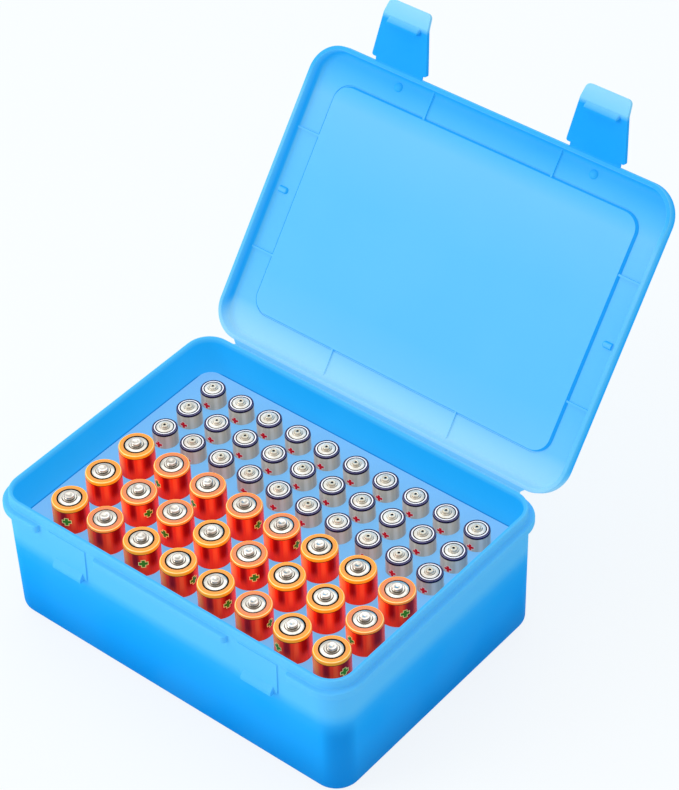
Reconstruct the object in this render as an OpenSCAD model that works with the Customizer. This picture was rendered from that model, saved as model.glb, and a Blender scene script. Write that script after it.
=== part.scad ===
// Battery storage case: a moulded tub with a socket rack, its cells, a hinged lid
// and two hook latches. Sizes are in millimetres. X runs along the case's width,
// -Y is the latch side, +Y the hinge side, and Z is up from the tub's underside.
// The case is drawn with its lid standing open.

/* [Case] */
// Width over the rim flange
case_w = 174.6; // [168:0.2:200]
// Depth over the rim flange
case_d = 127.4; // [124:0.2:150]
// How far a large cell's contact stands above the flange
cell_proud = 2.85; // [1:0.05:3.2]
// Radius of the case's corners, at the flange
corner_r = 13.4; // [11:0.1:20]
// How far the flange stands out from the wall
flange_out = 2.3; // [1.5:0.1:3.5]
// Thickness of the flange
flange_t = 3.2; // [2:0.1:5]
// Thickness of the tub's wall
wall_t = 2.1; // [1.6:0.1:3]
// Thickness of the tub's floor
floor_t = 2.5; // [1.5:0.1:4]
// How much narrower the tub is at its foot, on each side
draft = 0.8; // [0.2:0.1:1.5]
// Radius of the round edge at the tub's foot
foot_r = 3; // [2:0.1:5]

/* [Lip] */
// Height of the lip above the flange
lip_h = 4.3; // [3:0.1:4.4]
// Thickness of the lip
lip_t = 1.8; // [1.2:0.1:2.0]

/* [Lid] */
// Height of the lid from its edge to its flat top
lid_h = 6.9; // [6.6:0.1:10]
// Thickness of the lid's plate
plate_t = 1.7; // [1.2:0.1:2.2]
// Thickness of the lid's skirt at its edge
skirt_t = 1.7; // [1.2:0.1:1.8]
// Radius of the lid's outer top edge
lid_edge_r = 3; // [2:0.1:4]
// Angle to which the lid stands open
lid_open = 127.7; // [0:0.1:180]

/* [Lid panel] */
// How far the middle panel is sunk into the lid
panel_step = 1.3; // [0.6:0.1:1.6]
// Distance from the lid's outline to the panel, at the short sides
panel_side = 14; // [10:0.5:24]
// Distance from the lid's outline to the panel, at the long sides
panel_end = 14.7; // [10:0.5:24]
// Radius of the panel's corners
panel_r = 8; // [4:0.5:14]
// Width of the slope round the panel
panel_slope = 1.2; // [0.6:0.1:2]
// Thickness of the ribs beside the panel
rib_t = 0.8; // [0.6:0.1:1.5]
// Height of the ribs beside the panel
rib_h = 0.8; // [0.4:0.1:0.9]
// Distance from the lid's long sides to the ribs on its short sides
rib_side = 37.5; // [28:0.5:50]
// Distance from the lid's short sides to the ribs on its long sides
rib_end = 56.1; // [40:0.5:70]

/* [Hinges] */
// Distance from the case's short sides to the ends of the web between tub and lid
web_side = 15; // [14:0.5:40]
// Thickness of the webs
web_t = 0.75; // [0.5:0.05:1]
// Distance from the flange's edge to the lid's turning line
hinge_out = 1.3; // [1.1:0.05:2]
// Height of the lid's turning line above the flange
hinge_up = 0.15; // [0.1:0.01:0.25]

/* [Latches] */
// Distance from the case's short sides to the middle of each latch
latch_side = 39.7; // [32:0.1:50]
// Distance from the lid's front to a latch's turning line
latch_out = 0.4; // [0.35:0.01:0.6]
// Length of a latch from its turning line to its bend
latch_len = 20.1; // [19:0.1:24]
// Thickness of a latch
latch_t = 1.6; // [1.2:0.1:2]
// Width of a latch at its hinge end
latch_w = 27.5; // [24:0.5:30]
// Width of a latch at its bend
latch_bend_w = 22; // [18:0.5:24]
// Width of a latch at its tip
latch_tip_w = 20.1; // [16:0.1:21]
// Width of a latch's hinge web
latch_web_w = 23.6; // [18:0.2:24]
// Length of the finger tab past the bend
tab_len = 5.9; // [4:0.1:9]
// Angle of the finger tab away from the tub
tab_tilt = 22; // [10:1:35]
// Angle of the open latches below the plane of the lid
latch_drop = 24; // [0:1:45]
// Width of the hook bar on a latch
hook_w = 15.6; // [12:0.2:17]
// Depth of the hook bar
hook_d = 2; // [1.4:0.1:2.2]
// Length of the hook bar along the latch
hook_len = 2.9; // [2.4:0.1:3.5]

/* [Catches] */
// Width of the pad behind a latch
pad_w = 19; // [17:0.5:22]
// How much narrower the pad is at its foot, on each side
pad_taper = 0.6; // [0:0.1:1]
// How far the pad stands out from the wall
pad_t = 0.5; // [0.3:0.1:0.7]
// Height of the pad below the flange's top
pad_h = 15.6; // [13:0.1:16]
// Width of the catch bar
catch_w = 14.4; // [12:0.2:16.4]
// Height of the catch bar
catch_h = 4.2; // [3:0.1:5]
// Width of the gap in the flange at a latch
flange_gap = 29; // [28:0.2:34]

/* [Rack] */
// Gap between the rack and the tub's wall, at the top of the rack
rack_gap = 2.9; // [2.2:0.1:4]
// Depth from the flange's top down to the rack's top
rack_drop = 11.4; // [8:0.1:20]
// Thickness of the rack's top plate
rack_t = 2; // [1.2:0.1:3]
// Radius of the rack's corners
rack_r = 5.8; // [4:0.1:8]
// Thickness of the rack's skirt
rack_skirt_t = 1.6; // [1.2:0.1:2.5]
// Gap between a socket's foot and the tub's floor
socket_lift = 4.2; // [2:0.1:6]
// Thickness of a socket's foot
socket_foot = 1.8; // [1.2:0.1:3]
// Thickness of a socket's wall
socket_wall = 1.15; // [0.8:0.05:1.3]
// Gap round a cell in its socket
socket_clear = 0.3; // [0.2:0.05:0.4]

/* [Large cells] */
// Diameter of a large cell
aa_d = 14.5; // [13.5:0.1:14.5]
// Length of a large cell over its contact
aa_len = 50.5; // [48:0.1:51]
// Height of a large cell's contact above the top of its can
aa_contact = 1.85; // [1:0.05:2.5]
// Most large cells in a row
aa_cols = 8; // [4:1:8]
// Most rows of large cells
aa_rows = 3; // [2:1:3]
// Gap between the socket tubes of two rows of large cells
aa_row_gap = 1.7; // [1:0.1:1.8]
// Distance from the rack's left side to the first large cell
aa_left = 17.45; // [12:0.05:18]
// Distance from the rack's right side to the last large cell
aa_right = 11.65; // [11:0.05:18]
// Distance from the rack's front side to the first large cell
aa_front = 12.55; // [11:0.05:13]

/* [Small cells] */
// Diameter of a small cell
aaa_d = 10.5; // [9.5:0.1:10.5]
// Length of a small cell over its contact
aaa_len = 44.5; // [42:0.1:50]
// Height of a small cell's contact above the top of its can
aaa_contact = 1.2; // [0.8:0.05:2]
// Most small cells in a row
aaa_cols = 10; // [5:1:10]
// Most rows of small cells
aaa_rows = 3; // [2:1:3]
// Gap between the socket tubes of two rows of small cells
aaa_row_gap = 1.2; // [0.8:0.1:1.3]
// Distance from the rack's left side to the first small cell
aaa_left = 15.1; // [10:0.05:17]
// Distance from the rack's right side to the last small cell
aaa_right = 11.05; // [9:0.05:17]
// Distance from the rack's back side to the last small cell
aaa_back = 14; // [9:0.05:15]

/* [Hidden] */

// Colours of the mouldings and of the cells' sleeves
case_colour = [0.13, 0.66, 1.0];
lid_colour = [0.33, 0.76, 1.0];
rack_colour = [0.47, 0.72, 1.0];
aa_colour = [0.86, 0.22, 0.08];
aaa_colour = [0.62, 0.64, 0.68];

// Smoothness of round edges and of true cylinders
round_fn = 32;
true_fn = 64;
edge_steps = 4;
// A cut runs this far past the face that it opens
over = 1;
// Thickness of the slices that a shell is drawn between
slice = 0.02;
// Gap that is left between two pieces that move past each other
run_gap = 0.3;

half_w = case_w / 2;
half_d = case_d / 2;
// The cells stand on the feet of their sockets, and the tub is as tall as they need
seat_z = floor_t + socket_lift + socket_foot;
rim_z = seat_z + aa_len - cell_proud;
// Insets from the case's outline, at each part of the tub's section
wall_inset = flange_out;
inner_inset = flange_out + wall_t;
lip_outer_inset = inner_inset - lip_t;
lip_z = rim_z + lip_h;
flange_z = rim_z - flange_t;
edge_soft = 0.6;
inner_foot_r = max(foot_r - wall_t, 0.6);
// Height from the foot of the lid's skirt to its full width
skirt_soft = 0.3;

// The lid's frame has its origin on the turning line, and is drawn closed
hinge_y = half_d + hinge_out;
hinge_z = rim_z + hinge_up;
lid_mid = -(half_d + hinge_out);
lid_foot = hinge_up;
lid_top = lid_foot + lid_h;
plate_low = lid_top - plate_t;
panel_low = plate_low - panel_step;
skirt_draft = 0.4;
plate_inset = skirt_t + skirt_draft;
inner_fillet = 1.1;
fillet_z = plate_low - inner_fillet;
panel_half_w = half_w - panel_side;
panel_half_d = half_d - panel_end;

// Each latch is drawn in the plane of the lid, from its own turning line
latch_x = half_w - latch_side;
latch_y = lid_mid - half_d - latch_out;
web_share = 0.8;
web_start = web_share * web_t;
plate_start = 1.3;
tip_r = 1.8;
// Clearance between a closed latch's bend and its hook bar
hook_gap = 0.1;

// The catch ends just above the hook bar of a closed latch
catch_face_y = half_d;
hook_from = latch_len - hook_len + hook_gap;
catch_low = hinge_z - hook_from + run_gap;
catch_nose = 1.9;

// Tops of the cells: their steps as shares of the radius, and their edges
seal_share = 0.66;
cap_share = 0.61;
step_share = 0.42;
contact_share = 0.3;
shoulder_r = 0.7;
seal_depth = 0.4;
cap_rise = 0.15;
cell_edge = 0.3;

rack_half_w = half_w - inner_inset - rack_gap;
rack_half_d = half_d - inner_inset - rack_gap;
rack_top = rim_z - rack_drop;

// Radius of a socket's bore and of its tube, and the least distance between two tubes' middles
function socket_bore(d) = d / 2 + socket_clear;
function socket_tube(d) = socket_bore(d) + socket_wall;
function least_pitch(d) = 2 * socket_tube(d) + run_gap;

// How many fit on a length at a least pitch, up to a wanted number
function fitting(wanted, span, pitch) = min(wanted, 1 + floor(span / pitch + 0.001));

// Rows of sockets: the large ones start at the front and the small ones at the back
aa_pitch_y = 2 * socket_tube(aa_d) + aa_row_gap;
aaa_pitch_y = 2 * socket_tube(aaa_d) + aaa_row_gap;
between = socket_tube(aa_d) + socket_tube(aaa_d) + run_gap;
aa_row_span = 2 * rack_half_d - aa_front - aaa_back - between;
aa_row_count = fitting(aa_rows, aa_row_span, aa_pitch_y);
aaa_row_span = aa_row_span - (aa_row_count - 1) * aa_pitch_y;
aaa_row_count = fitting(aaa_rows, aaa_row_span, aaa_pitch_y);

// Columns of sockets are spread evenly between the margins
aa_col_span = 2 * rack_half_w - aa_left - aa_right;
aa_col_count = fitting(aa_cols, aa_col_span, least_pitch(aa_d));
aaa_col_span = 2 * rack_half_w - aaa_left - aaa_right;
aaa_col_count = fitting(aaa_cols, aaa_col_span, least_pitch(aaa_d));

// Middles of the sockets, counted from the front left
function grid(cols, span, start_x, rows, pitch_y, start_y) = [
    for (row = [0 : rows - 1], col = [0 : cols - 1])
        [start_x + col * span / (cols - 1), start_y + row * pitch_y]];
aa_start_x = aa_left - rack_half_w;
aa_start_y = aa_front - rack_half_d;
aaa_start_x = aaa_left - rack_half_w;
aaa_start_y = rack_half_d - aaa_back - (aaa_row_count - 1) * aaa_pitch_y;
aa_spots = grid(aa_col_count, aa_col_span, aa_start_x, aa_row_count, aa_pitch_y, aa_start_y);
aaa_spots = grid(aaa_col_count, aaa_col_span, aaa_start_x, aaa_row_count, aaa_pitch_y, aaa_start_y);

// Names of the cells, one for each socket of the rack
function two_digits(n) = n < 10 ? str("0", n) : str(n);
AA_NAMES = [for (i = [1 : len(aa_spots)]) str("aa_cell_", two_digits(i))];
AAA_NAMES = [for (i = [1 : len(aaa_spots)]) str("aaa_cell_", two_digits(i))];
CASE_NAMES = ["case_base", "battery_rack", "lid", "latch_left", "latch_right"];

// Section of a round edge: how far in and how far up, from its start
function edge_curve(r) = [for (i = [0 : edge_steps])
    [r * (1 - cos(90 * i / edge_steps)), r * sin(90 * i / edge_steps)]];

// A rectangle with round corners, about the origin
module rounded_outline(half_x, half_y, r) {
    square([2 * (half_x - r), 2 * half_y], center = true);
    square([2 * half_x, 2 * (half_y - r)], center = true);
    for (sx = [-1, 1], sy = [-1, 1])
        translate([sx * (half_x - r), sy * (half_y - r)]) circle(r);
}

// The case's outline, moved in by an inset
module case_outline(inset) {
    rounded_outline(half_w - inset, half_d - inset, corner_r - inset);
}

// One thin slice of a shell, at a height
module case_slice(inset, z) {
    translate([0, 0, z]) linear_extrude(slice) case_outline(inset, $fn = round_fn);
}

// The outer form of the tub, with a round foot and drafted sides
module tub_form() {
    hull() {
        for (step = edge_curve(foot_r)) case_slice(wall_inset + draft + step[0], foot_r - step[1]);
        case_slice(wall_inset, rim_z - slice);
    }
}

// The hollow of the tub, open at the top
module tub_hollow() {
    hull() {
        case_slice(inner_inset + draft + inner_foot_r, floor_t);
        case_slice(inner_inset + draft, floor_t + inner_foot_r);
        case_slice(inner_inset, rim_z);
        case_slice(inner_inset, lip_z + over);
    }
}

// The rim flange, with its outer edges eased
module flange_form() {
    hull() {
        case_slice(edge_soft, flange_z);
        case_slice(0, flange_z + edge_soft);
        case_slice(0, rim_z - edge_soft - slice);
        case_slice(edge_soft / 2, rim_z - slice);
    }
}

// A gap in the flange at one latch, with round ends on the flange
module flange_gap_outline() {
    end_r = flange_out - edge_soft / 2;
    translate([-flange_gap / 2, -half_d - over]) square([flange_gap, flange_out + over]);
    for (side = [-1, 1]) difference() {
        translate([side * (flange_gap + end_r) / 2, -half_d + (end_r - over) / 2])
            square([end_r, end_r + over], center = true);
        translate([side * (flange_gap / 2 + end_r), -half_d + end_r]) circle(end_r, $fn = true_fn);
    }
}

// Section of the catch bar, from the wall out to its nose
function catch_section(wall_y) = [
    [-wall_y, catch_low],
    [edge_soft - catch_face_y, catch_low],
    [-catch_face_y, catch_low + edge_soft],
    [-catch_face_y, catch_low + catch_nose],
    [-wall_y - pad_t, catch_low + catch_h],
    [-wall_y, catch_low + catch_h]];

// The pad's face, a little narrower at its foot
function pad_face(low_w) = [
    [-low_w / 2, rim_z - pad_h],
    [low_w / 2, rim_z - pad_h],
    [pad_w / 2, rim_z],
    [-pad_w / 2, rim_z]];

// Pad and catch bar for one latch, on the front wall
module catch_piece() {
    wall_y = half_d - wall_inset - draft;
    translate([0, -wall_y, 0]) rotate([90, 0, 0])
        linear_extrude(draft + pad_t) polygon(pad_face(pad_w - 2 * pad_taper));
    translate([-catch_w / 2, 0, 0]) rotate([90, 0, 90])
        linear_extrude(catch_w) polygon(catch_section(wall_y));
}

// The tub: one moulding with floor, walls, flange, lip, catches and half of the hinge web
module case_base() {
    color(case_colour) difference() {
        union() {
            tub_form();
            difference() {
                flange_form();
                for (side = [-1, 1]) translate([side * latch_x, 0, flange_z - over])
                    linear_extrude(flange_t + 2 * over) flange_gap_outline();
            }
            translate([0, 0, rim_z - over]) linear_extrude(lip_h + over)
                case_outline(lip_outer_inset, $fn = true_fn);
            for (side = [-1, 1]) translate([side * latch_x, 0, 0]) catch_piece();
            translate([web_side - half_w, half_d - over, rim_z - web_t])
                cube([2 * (half_w - web_side), hinge_out - hinge_up + over, web_t]);
        }
        tub_hollow();
    }
}

// The outer form of the lid, closed, with a round top edge
module lid_form() {
    translate([0, lid_mid, 0]) hull() {
        case_slice(skirt_soft, lid_foot);
        case_slice(0, lid_foot + skirt_soft);
        for (step = edge_curve(lid_edge_r))
            case_slice(step[0], lid_top - lid_edge_r + step[1] - slice);
    }
}

// The hollow of the lid, with a round inner corner
module lid_hollow() {
    translate([0, lid_mid, 0]) hull() {
        case_slice(skirt_t, lid_foot - over);
        for (step = edge_curve(inner_fillet))
            case_slice(plate_inset + step[0], fillet_z + step[1] - slice);
    }
}

// The panel's outline, grown by an amount
module panel_outline(grow) {
    rounded_outline(panel_half_w + grow, panel_half_d + grow, panel_r + grow, $fn = round_fn);
}

// A shallow block with sloping sides, as wide as the panel grown by an amount at each face
module panel_block(low, high, low_grow, high_grow) {
    translate([0, lid_mid, 0]) hull() for (face = [[low, low_grow], [high - slice, high_grow]])
        translate([0, 0, face[0]]) linear_extrude(slice) panel_outline(face[1]);
}

// One thin rib on the lid's plate, between two points of the lid's frame
module plate_rib(x, y, size_x, size_y) {
    translate([x - size_x / 2, y - size_y / 2, plate_low - rib_h])
        cube([size_x, size_y, rib_h + plate_t / 2]);
}

// The ribs between the skirt and the panel
module lid_ribs() {
    reach_w = panel_side - plate_inset + panel_slope;
    reach_d = panel_end - plate_inset + panel_slope;
    mid_w = half_w - plate_inset - reach_w / 2;
    mid_d = half_d - plate_inset - reach_d / 2;
    for (side = [-1, 1], place = [-1, 1]) {
        plate_rib(side * mid_w, lid_mid + place * (half_d - rib_side), reach_w, rib_t);
        plate_rib(place * (half_w - rib_end), lid_mid + side * mid_d, rib_t, reach_d);
    }
}

// A half round peg on the plate at each short side, which stops inside the closed lip
module lid_pegs() {
    peg_r = 1.4;
    peg_len = 3.2;
    end_x = half_w - inner_inset - run_gap;
    for (side = [-1, 1]) intersection() {
        translate([side * (end_x - peg_len / 2), lid_mid, plate_low]) rotate([0, 90, 0])
            cylinder(r = peg_r, h = peg_len, center = true, $fn = true_fn);
        translate([side * half_w / 2, lid_mid, plate_low])
            cube([half_w, 4 * peg_r, 2 * peg_r], center = true);
    }
}

// A low round boss on the plate behind each latch, just inside the closed lip
module lid_bosses() {
    boss_r = 1.9;
    boss_tip_r = 1.4;
    boss_h = 1.1;
    boss_y = lid_mid - half_d + inner_inset + run_gap + boss_r;
    for (side = [-1, 1]) translate([side * latch_x, boss_y, plate_low - boss_h])
        cylinder(r1 = boss_tip_r, r2 = boss_r, h = boss_h + plate_t / 2, $fn = true_fn);
}

// The lid, closed, in its own frame
module lid_closed() {
    difference() {
        union() {
            difference() {
                lid_form();
                lid_hollow();
            }
            panel_block(panel_low, plate_low + slice, 0, panel_slope);
            lid_ribs();
            lid_pegs();
            lid_bosses();
            translate([web_side - half_w, -hinge_out - over, lid_foot])
                cube([2 * (half_w - web_side), hinge_out + over - hinge_up, web_t]);
            for (side = [-1, 1])
                translate([side * latch_x - latch_web_w / 2, latch_y + run_gap / 2, lid_foot])
                    cube([latch_web_w, latch_out + over, web_t]);
        }
        panel_block(lid_top - panel_step, lid_top + over, -panel_slope, over * panel_slope / panel_step);
    }
}

// Section of the hook bar, from the face that takes hold of the catch to its far slope
function hook_section() = [
    [-hook_from, latch_t / 2],
    [-hook_from, edge_soft - hook_d],
    [-hook_from - edge_soft, -hook_d],
    [-hook_from - hook_len / 2, -hook_d],
    [-hook_from - hook_len, 0],
    [-hook_from - hook_len, latch_t / 2]];

// A latch, drawn along -Y from its turning line, with its hook bar below
module latch_flat() {
    translate([-latch_web_w / 2, -plate_start - over, 0])
        cube([latch_web_w, plate_start + over - web_start, web_t]);
    linear_extrude(latch_t) polygon([
        [-latch_w / 2, -plate_start],
        [-latch_bend_w / 2, -latch_len],
        [latch_bend_w / 2, -latch_len],
        [latch_w / 2, -plate_start]]);
    translate([0, -latch_len, 0]) rotate([-tab_tilt, 0, 0]) linear_extrude(latch_t) hull() {
        translate([-latch_bend_w / 2, -slice]) square([latch_bend_w, latch_t]);
        for (side = [-1, 1]) translate([side * (latch_tip_w / 2 - tip_r), tip_r - tab_len])
            circle(tip_r, $fn = round_fn);
    }
    translate([-hook_w / 2, 0, 0]) rotate([90, 0, 90])
        linear_extrude(hook_w) polygon(hook_section());
}

// Puts a piece of the lid's frame where the open lid carries it
module on_open_lid() {
    translate([0, hinge_y, hinge_z]) rotate([-lid_open, 0, 0]) children();
}

// The lid with its panel, ribs, pegs, bosses and its halves of the webs
module lid() {
    color(lid_colour) on_open_lid() lid_closed();
}

// One latch on the open lid
module latch(side) {
    color(case_colour) on_open_lid()
        translate([side * latch_x, latch_y, 0]) rotate([latch_drop, 0, 0]) latch_flat();
}

module latch_left() {
    latch(-1);
}

module latch_right() {
    latch(1);
}

// All sockets of one size: what a cell's tube takes up, or its bore
module socket_tubes(spots, d) {
    for (spot = spots) translate([spot[0], spot[1], seat_z - socket_foot])
        cylinder(r = socket_tube(d), h = rack_top - rack_t / 2 - seat_z + socket_foot, $fn = true_fn);
}

module socket_bores(spots, d) {
    for (spot = spots) translate([spot[0], spot[1], seat_z])
        cylinder(r = socket_bore(d), h = rack_top + over - seat_z, $fn = true_fn);
}

// The rack's outline, moved in by an inset
module rack_outline(inset) {
    rounded_outline(rack_half_w - inset, rack_half_d - inset, rack_r - inset, $fn = true_fn);
}

// The rack: a top plate on a skirt, with a closed tube for each cell
module battery_rack() {
    color(rack_colour) difference() {
        union() {
            difference() {
                translate([0, 0, floor_t]) linear_extrude(rack_top - floor_t) rack_outline(0);
                translate([0, 0, floor_t - over])
                    linear_extrude(rack_top - rack_t - floor_t + over) rack_outline(rack_skirt_t);
            }
            socket_tubes(aa_spots, aa_d);
            socket_tubes(aaa_spots, aaa_d);
        }
        socket_bores(aa_spots, aa_d);
        socket_bores(aaa_spots, aaa_d);
    }
}

// Half section of a cell's top: shoulder, seal groove, cap and stepped contact
function cell_top(r, can_h, len) = concat(
    [for (step = edge_curve(shoulder_r)) [r - step[0], can_h - shoulder_r + step[1]]],
    [
        [seal_share * r, can_h],
        [seal_share * r, can_h - seal_depth],
        [cap_share * r, can_h - seal_depth],
        [cap_share * r, can_h],
        [cap_share * r - cell_edge, can_h + cap_rise],
        [step_share * r, can_h + cap_rise],
        [step_share * r - cell_edge, can_h + cap_rise + cell_edge],
        [contact_share * r, can_h + cap_rise + cell_edge],
        [contact_share * r, len - cell_edge],
        [contact_share * r - cell_edge, len],
        [0, len]]);

// A sealed cell on its seat
module cell(spot, d, len, contact) {
    r = d / 2;
    foot = [[0, 0], [r - cell_edge, 0], [r, cell_edge]];
    translate([spot[0], spot[1], seat_z])
        rotate_extrude($fn = true_fn) polygon(concat(foot, cell_top(r, len - contact, len)));
}

module aa_cell(i) {
    color(aa_colour) cell(aa_spots[i], aa_d, aa_len, aa_contact);
}

module aaa_cell(i) {
    color(aaa_colour) cell(aaa_spots[i], aaa_d, aaa_len, aaa_contact);
}

case_base();
battery_rack();
lid();
latch_left();
latch_right();
for (i = [0 : len(aa_spots) - 1]) aa_cell(i);
for (i = [0 : len(aaa_spots) - 1]) aaa_cell(i);
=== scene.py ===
"""Battery storage case with an open lid: fine form and finishes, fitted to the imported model.

Each piece starts as a simple primitive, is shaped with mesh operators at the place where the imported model
has it, and is dressed with procedural materials. Sizes in the classes are in millimetres.
"""
import logging
import math
from collections.abc import Callable, Iterable
from dataclasses import dataclass
from enum import Enum

import bmesh
import bpy
from mathutils import Matrix, Vector


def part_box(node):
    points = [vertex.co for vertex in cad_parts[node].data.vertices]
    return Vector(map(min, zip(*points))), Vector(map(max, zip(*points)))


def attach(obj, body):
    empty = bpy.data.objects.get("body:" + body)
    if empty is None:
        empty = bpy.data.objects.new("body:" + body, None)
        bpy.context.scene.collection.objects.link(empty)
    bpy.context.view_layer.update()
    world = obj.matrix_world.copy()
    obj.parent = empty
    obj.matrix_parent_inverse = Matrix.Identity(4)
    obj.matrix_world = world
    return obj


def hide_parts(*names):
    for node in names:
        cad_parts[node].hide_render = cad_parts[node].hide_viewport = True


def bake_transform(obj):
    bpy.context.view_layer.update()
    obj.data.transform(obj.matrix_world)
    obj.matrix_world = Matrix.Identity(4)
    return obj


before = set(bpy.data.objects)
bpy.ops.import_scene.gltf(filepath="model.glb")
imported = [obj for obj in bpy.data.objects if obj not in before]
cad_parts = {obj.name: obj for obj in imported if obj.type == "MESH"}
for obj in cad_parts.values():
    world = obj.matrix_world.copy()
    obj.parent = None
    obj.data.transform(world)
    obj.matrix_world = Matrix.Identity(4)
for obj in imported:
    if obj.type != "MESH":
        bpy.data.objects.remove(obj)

LOG = logging.getLogger("storage_case")
MM = 0.001
UP = Vector((0, 0, 1))
DOWN = Vector((0, 0, -1))
FRONT = Vector((0, -1, 0))
BACK = Vector((0, 1, 0))
# Least cosine at which a face or an edge counts as pointing one way
ALONG = 0.9
# Greatest cosine at which an edge counts as running across an axis
ACROSS = 0.3
# Slack when a face or an edge is picked by its place, in millimetres
SLACK = 0.1
# Least angle between two faces that stays sharp when a piece is shaded, in degrees
SHARP = 40
Point = tuple[float, float, float]
Colour = tuple[float, float, float]
Node = bpy.types.Node
Socket = bpy.types.NodeSocket
Material = bpy.types.Material
Tones = tuple[tuple[float, Colour], ...]
PlaceTest = Callable[[Vector, Vector], bool]


class Body(Enum):
    """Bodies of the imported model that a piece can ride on."""

    BASE = "base"
    LID = "lid"
    LATCH_LEFT = "latch_left"
    LATCH_RIGHT = "latch_right"


class Slot(Enum):
    """Material slots of the record."""

    CASE = "case"
    LID = "lid"
    LATCH = "latch"
    LARGE_CELL = "large_cell"
    SMALL_CELL = "small_cell"


def tint(red: int, green: int, blue: int) -> Colour:
    """Turns a colour as seen on a screen, 0 to 255, into the linear values that a shader takes."""
    return tuple(((c / 255 + 0.055) / 1.055) ** 2.4 if c > 10 else c / 255 / 12.92
                 for c in (red, green, blue))


def stops(*rows: tuple[float, int, int, int]) -> Tones:
    """Turns rows of a place in millimetres and a colour as seen on a screen into tones."""
    return tuple((row[0], tint(*row[1:])) for row in rows)


# Shaping


def looks(way: Vector) -> PlaceTest:
    """A test for faces whose normal points one way."""
    return lambda _, normal: normal.dot(way) > ALONG


@dataclass(frozen=True)
class Step:
    """One move of a picked face.

    Attributes:
        shrink: How far the face's outline moves in, in millimetres.
        rise: How far the face then moves along its own normal, in millimetres.
    """

    shrink: float
    rise: float


def round_over(radius: float, count: int = 4) -> list[Step]:
    """Steps that turn a side wall into a flat top with a convex quarter round.

    Args:
        radius: Radius of the quarter round, in millimetres.
        count: Number of steps.

    Returns:
        The steps, in order.
    """
    angles = [math.pi / 2 * i / count for i in range(count + 1)]
    return [Step(radius * (math.cos(a) - math.cos(b)), radius * (math.sin(b) - math.sin(a)))
            for a, b in zip(angles, angles[1:])]


def round_under(radius: float, count: int = 4) -> list[Step]:
    """Steps that turn a flat top into a wall that goes back down, with a convex quarter round."""
    return [Step(step.rise, -step.shrink) for step in round_over(radius, count)]


def fillet_down(radius: float, count: int = 4) -> list[Step]:
    """Steps that turn a wall that goes down into a flat floor, with a concave quarter round."""
    return [Step(step.shrink, -step.rise) for step in round_over(radius, count)]


def hollow_up(radius: float, count: int = 4) -> list[Step]:
    """Steps that turn a flat top into a wall that goes up, with a concave quarter round."""
    return [Step(step.rise, step.shrink) for step in round_over(radius, count)]


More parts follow.
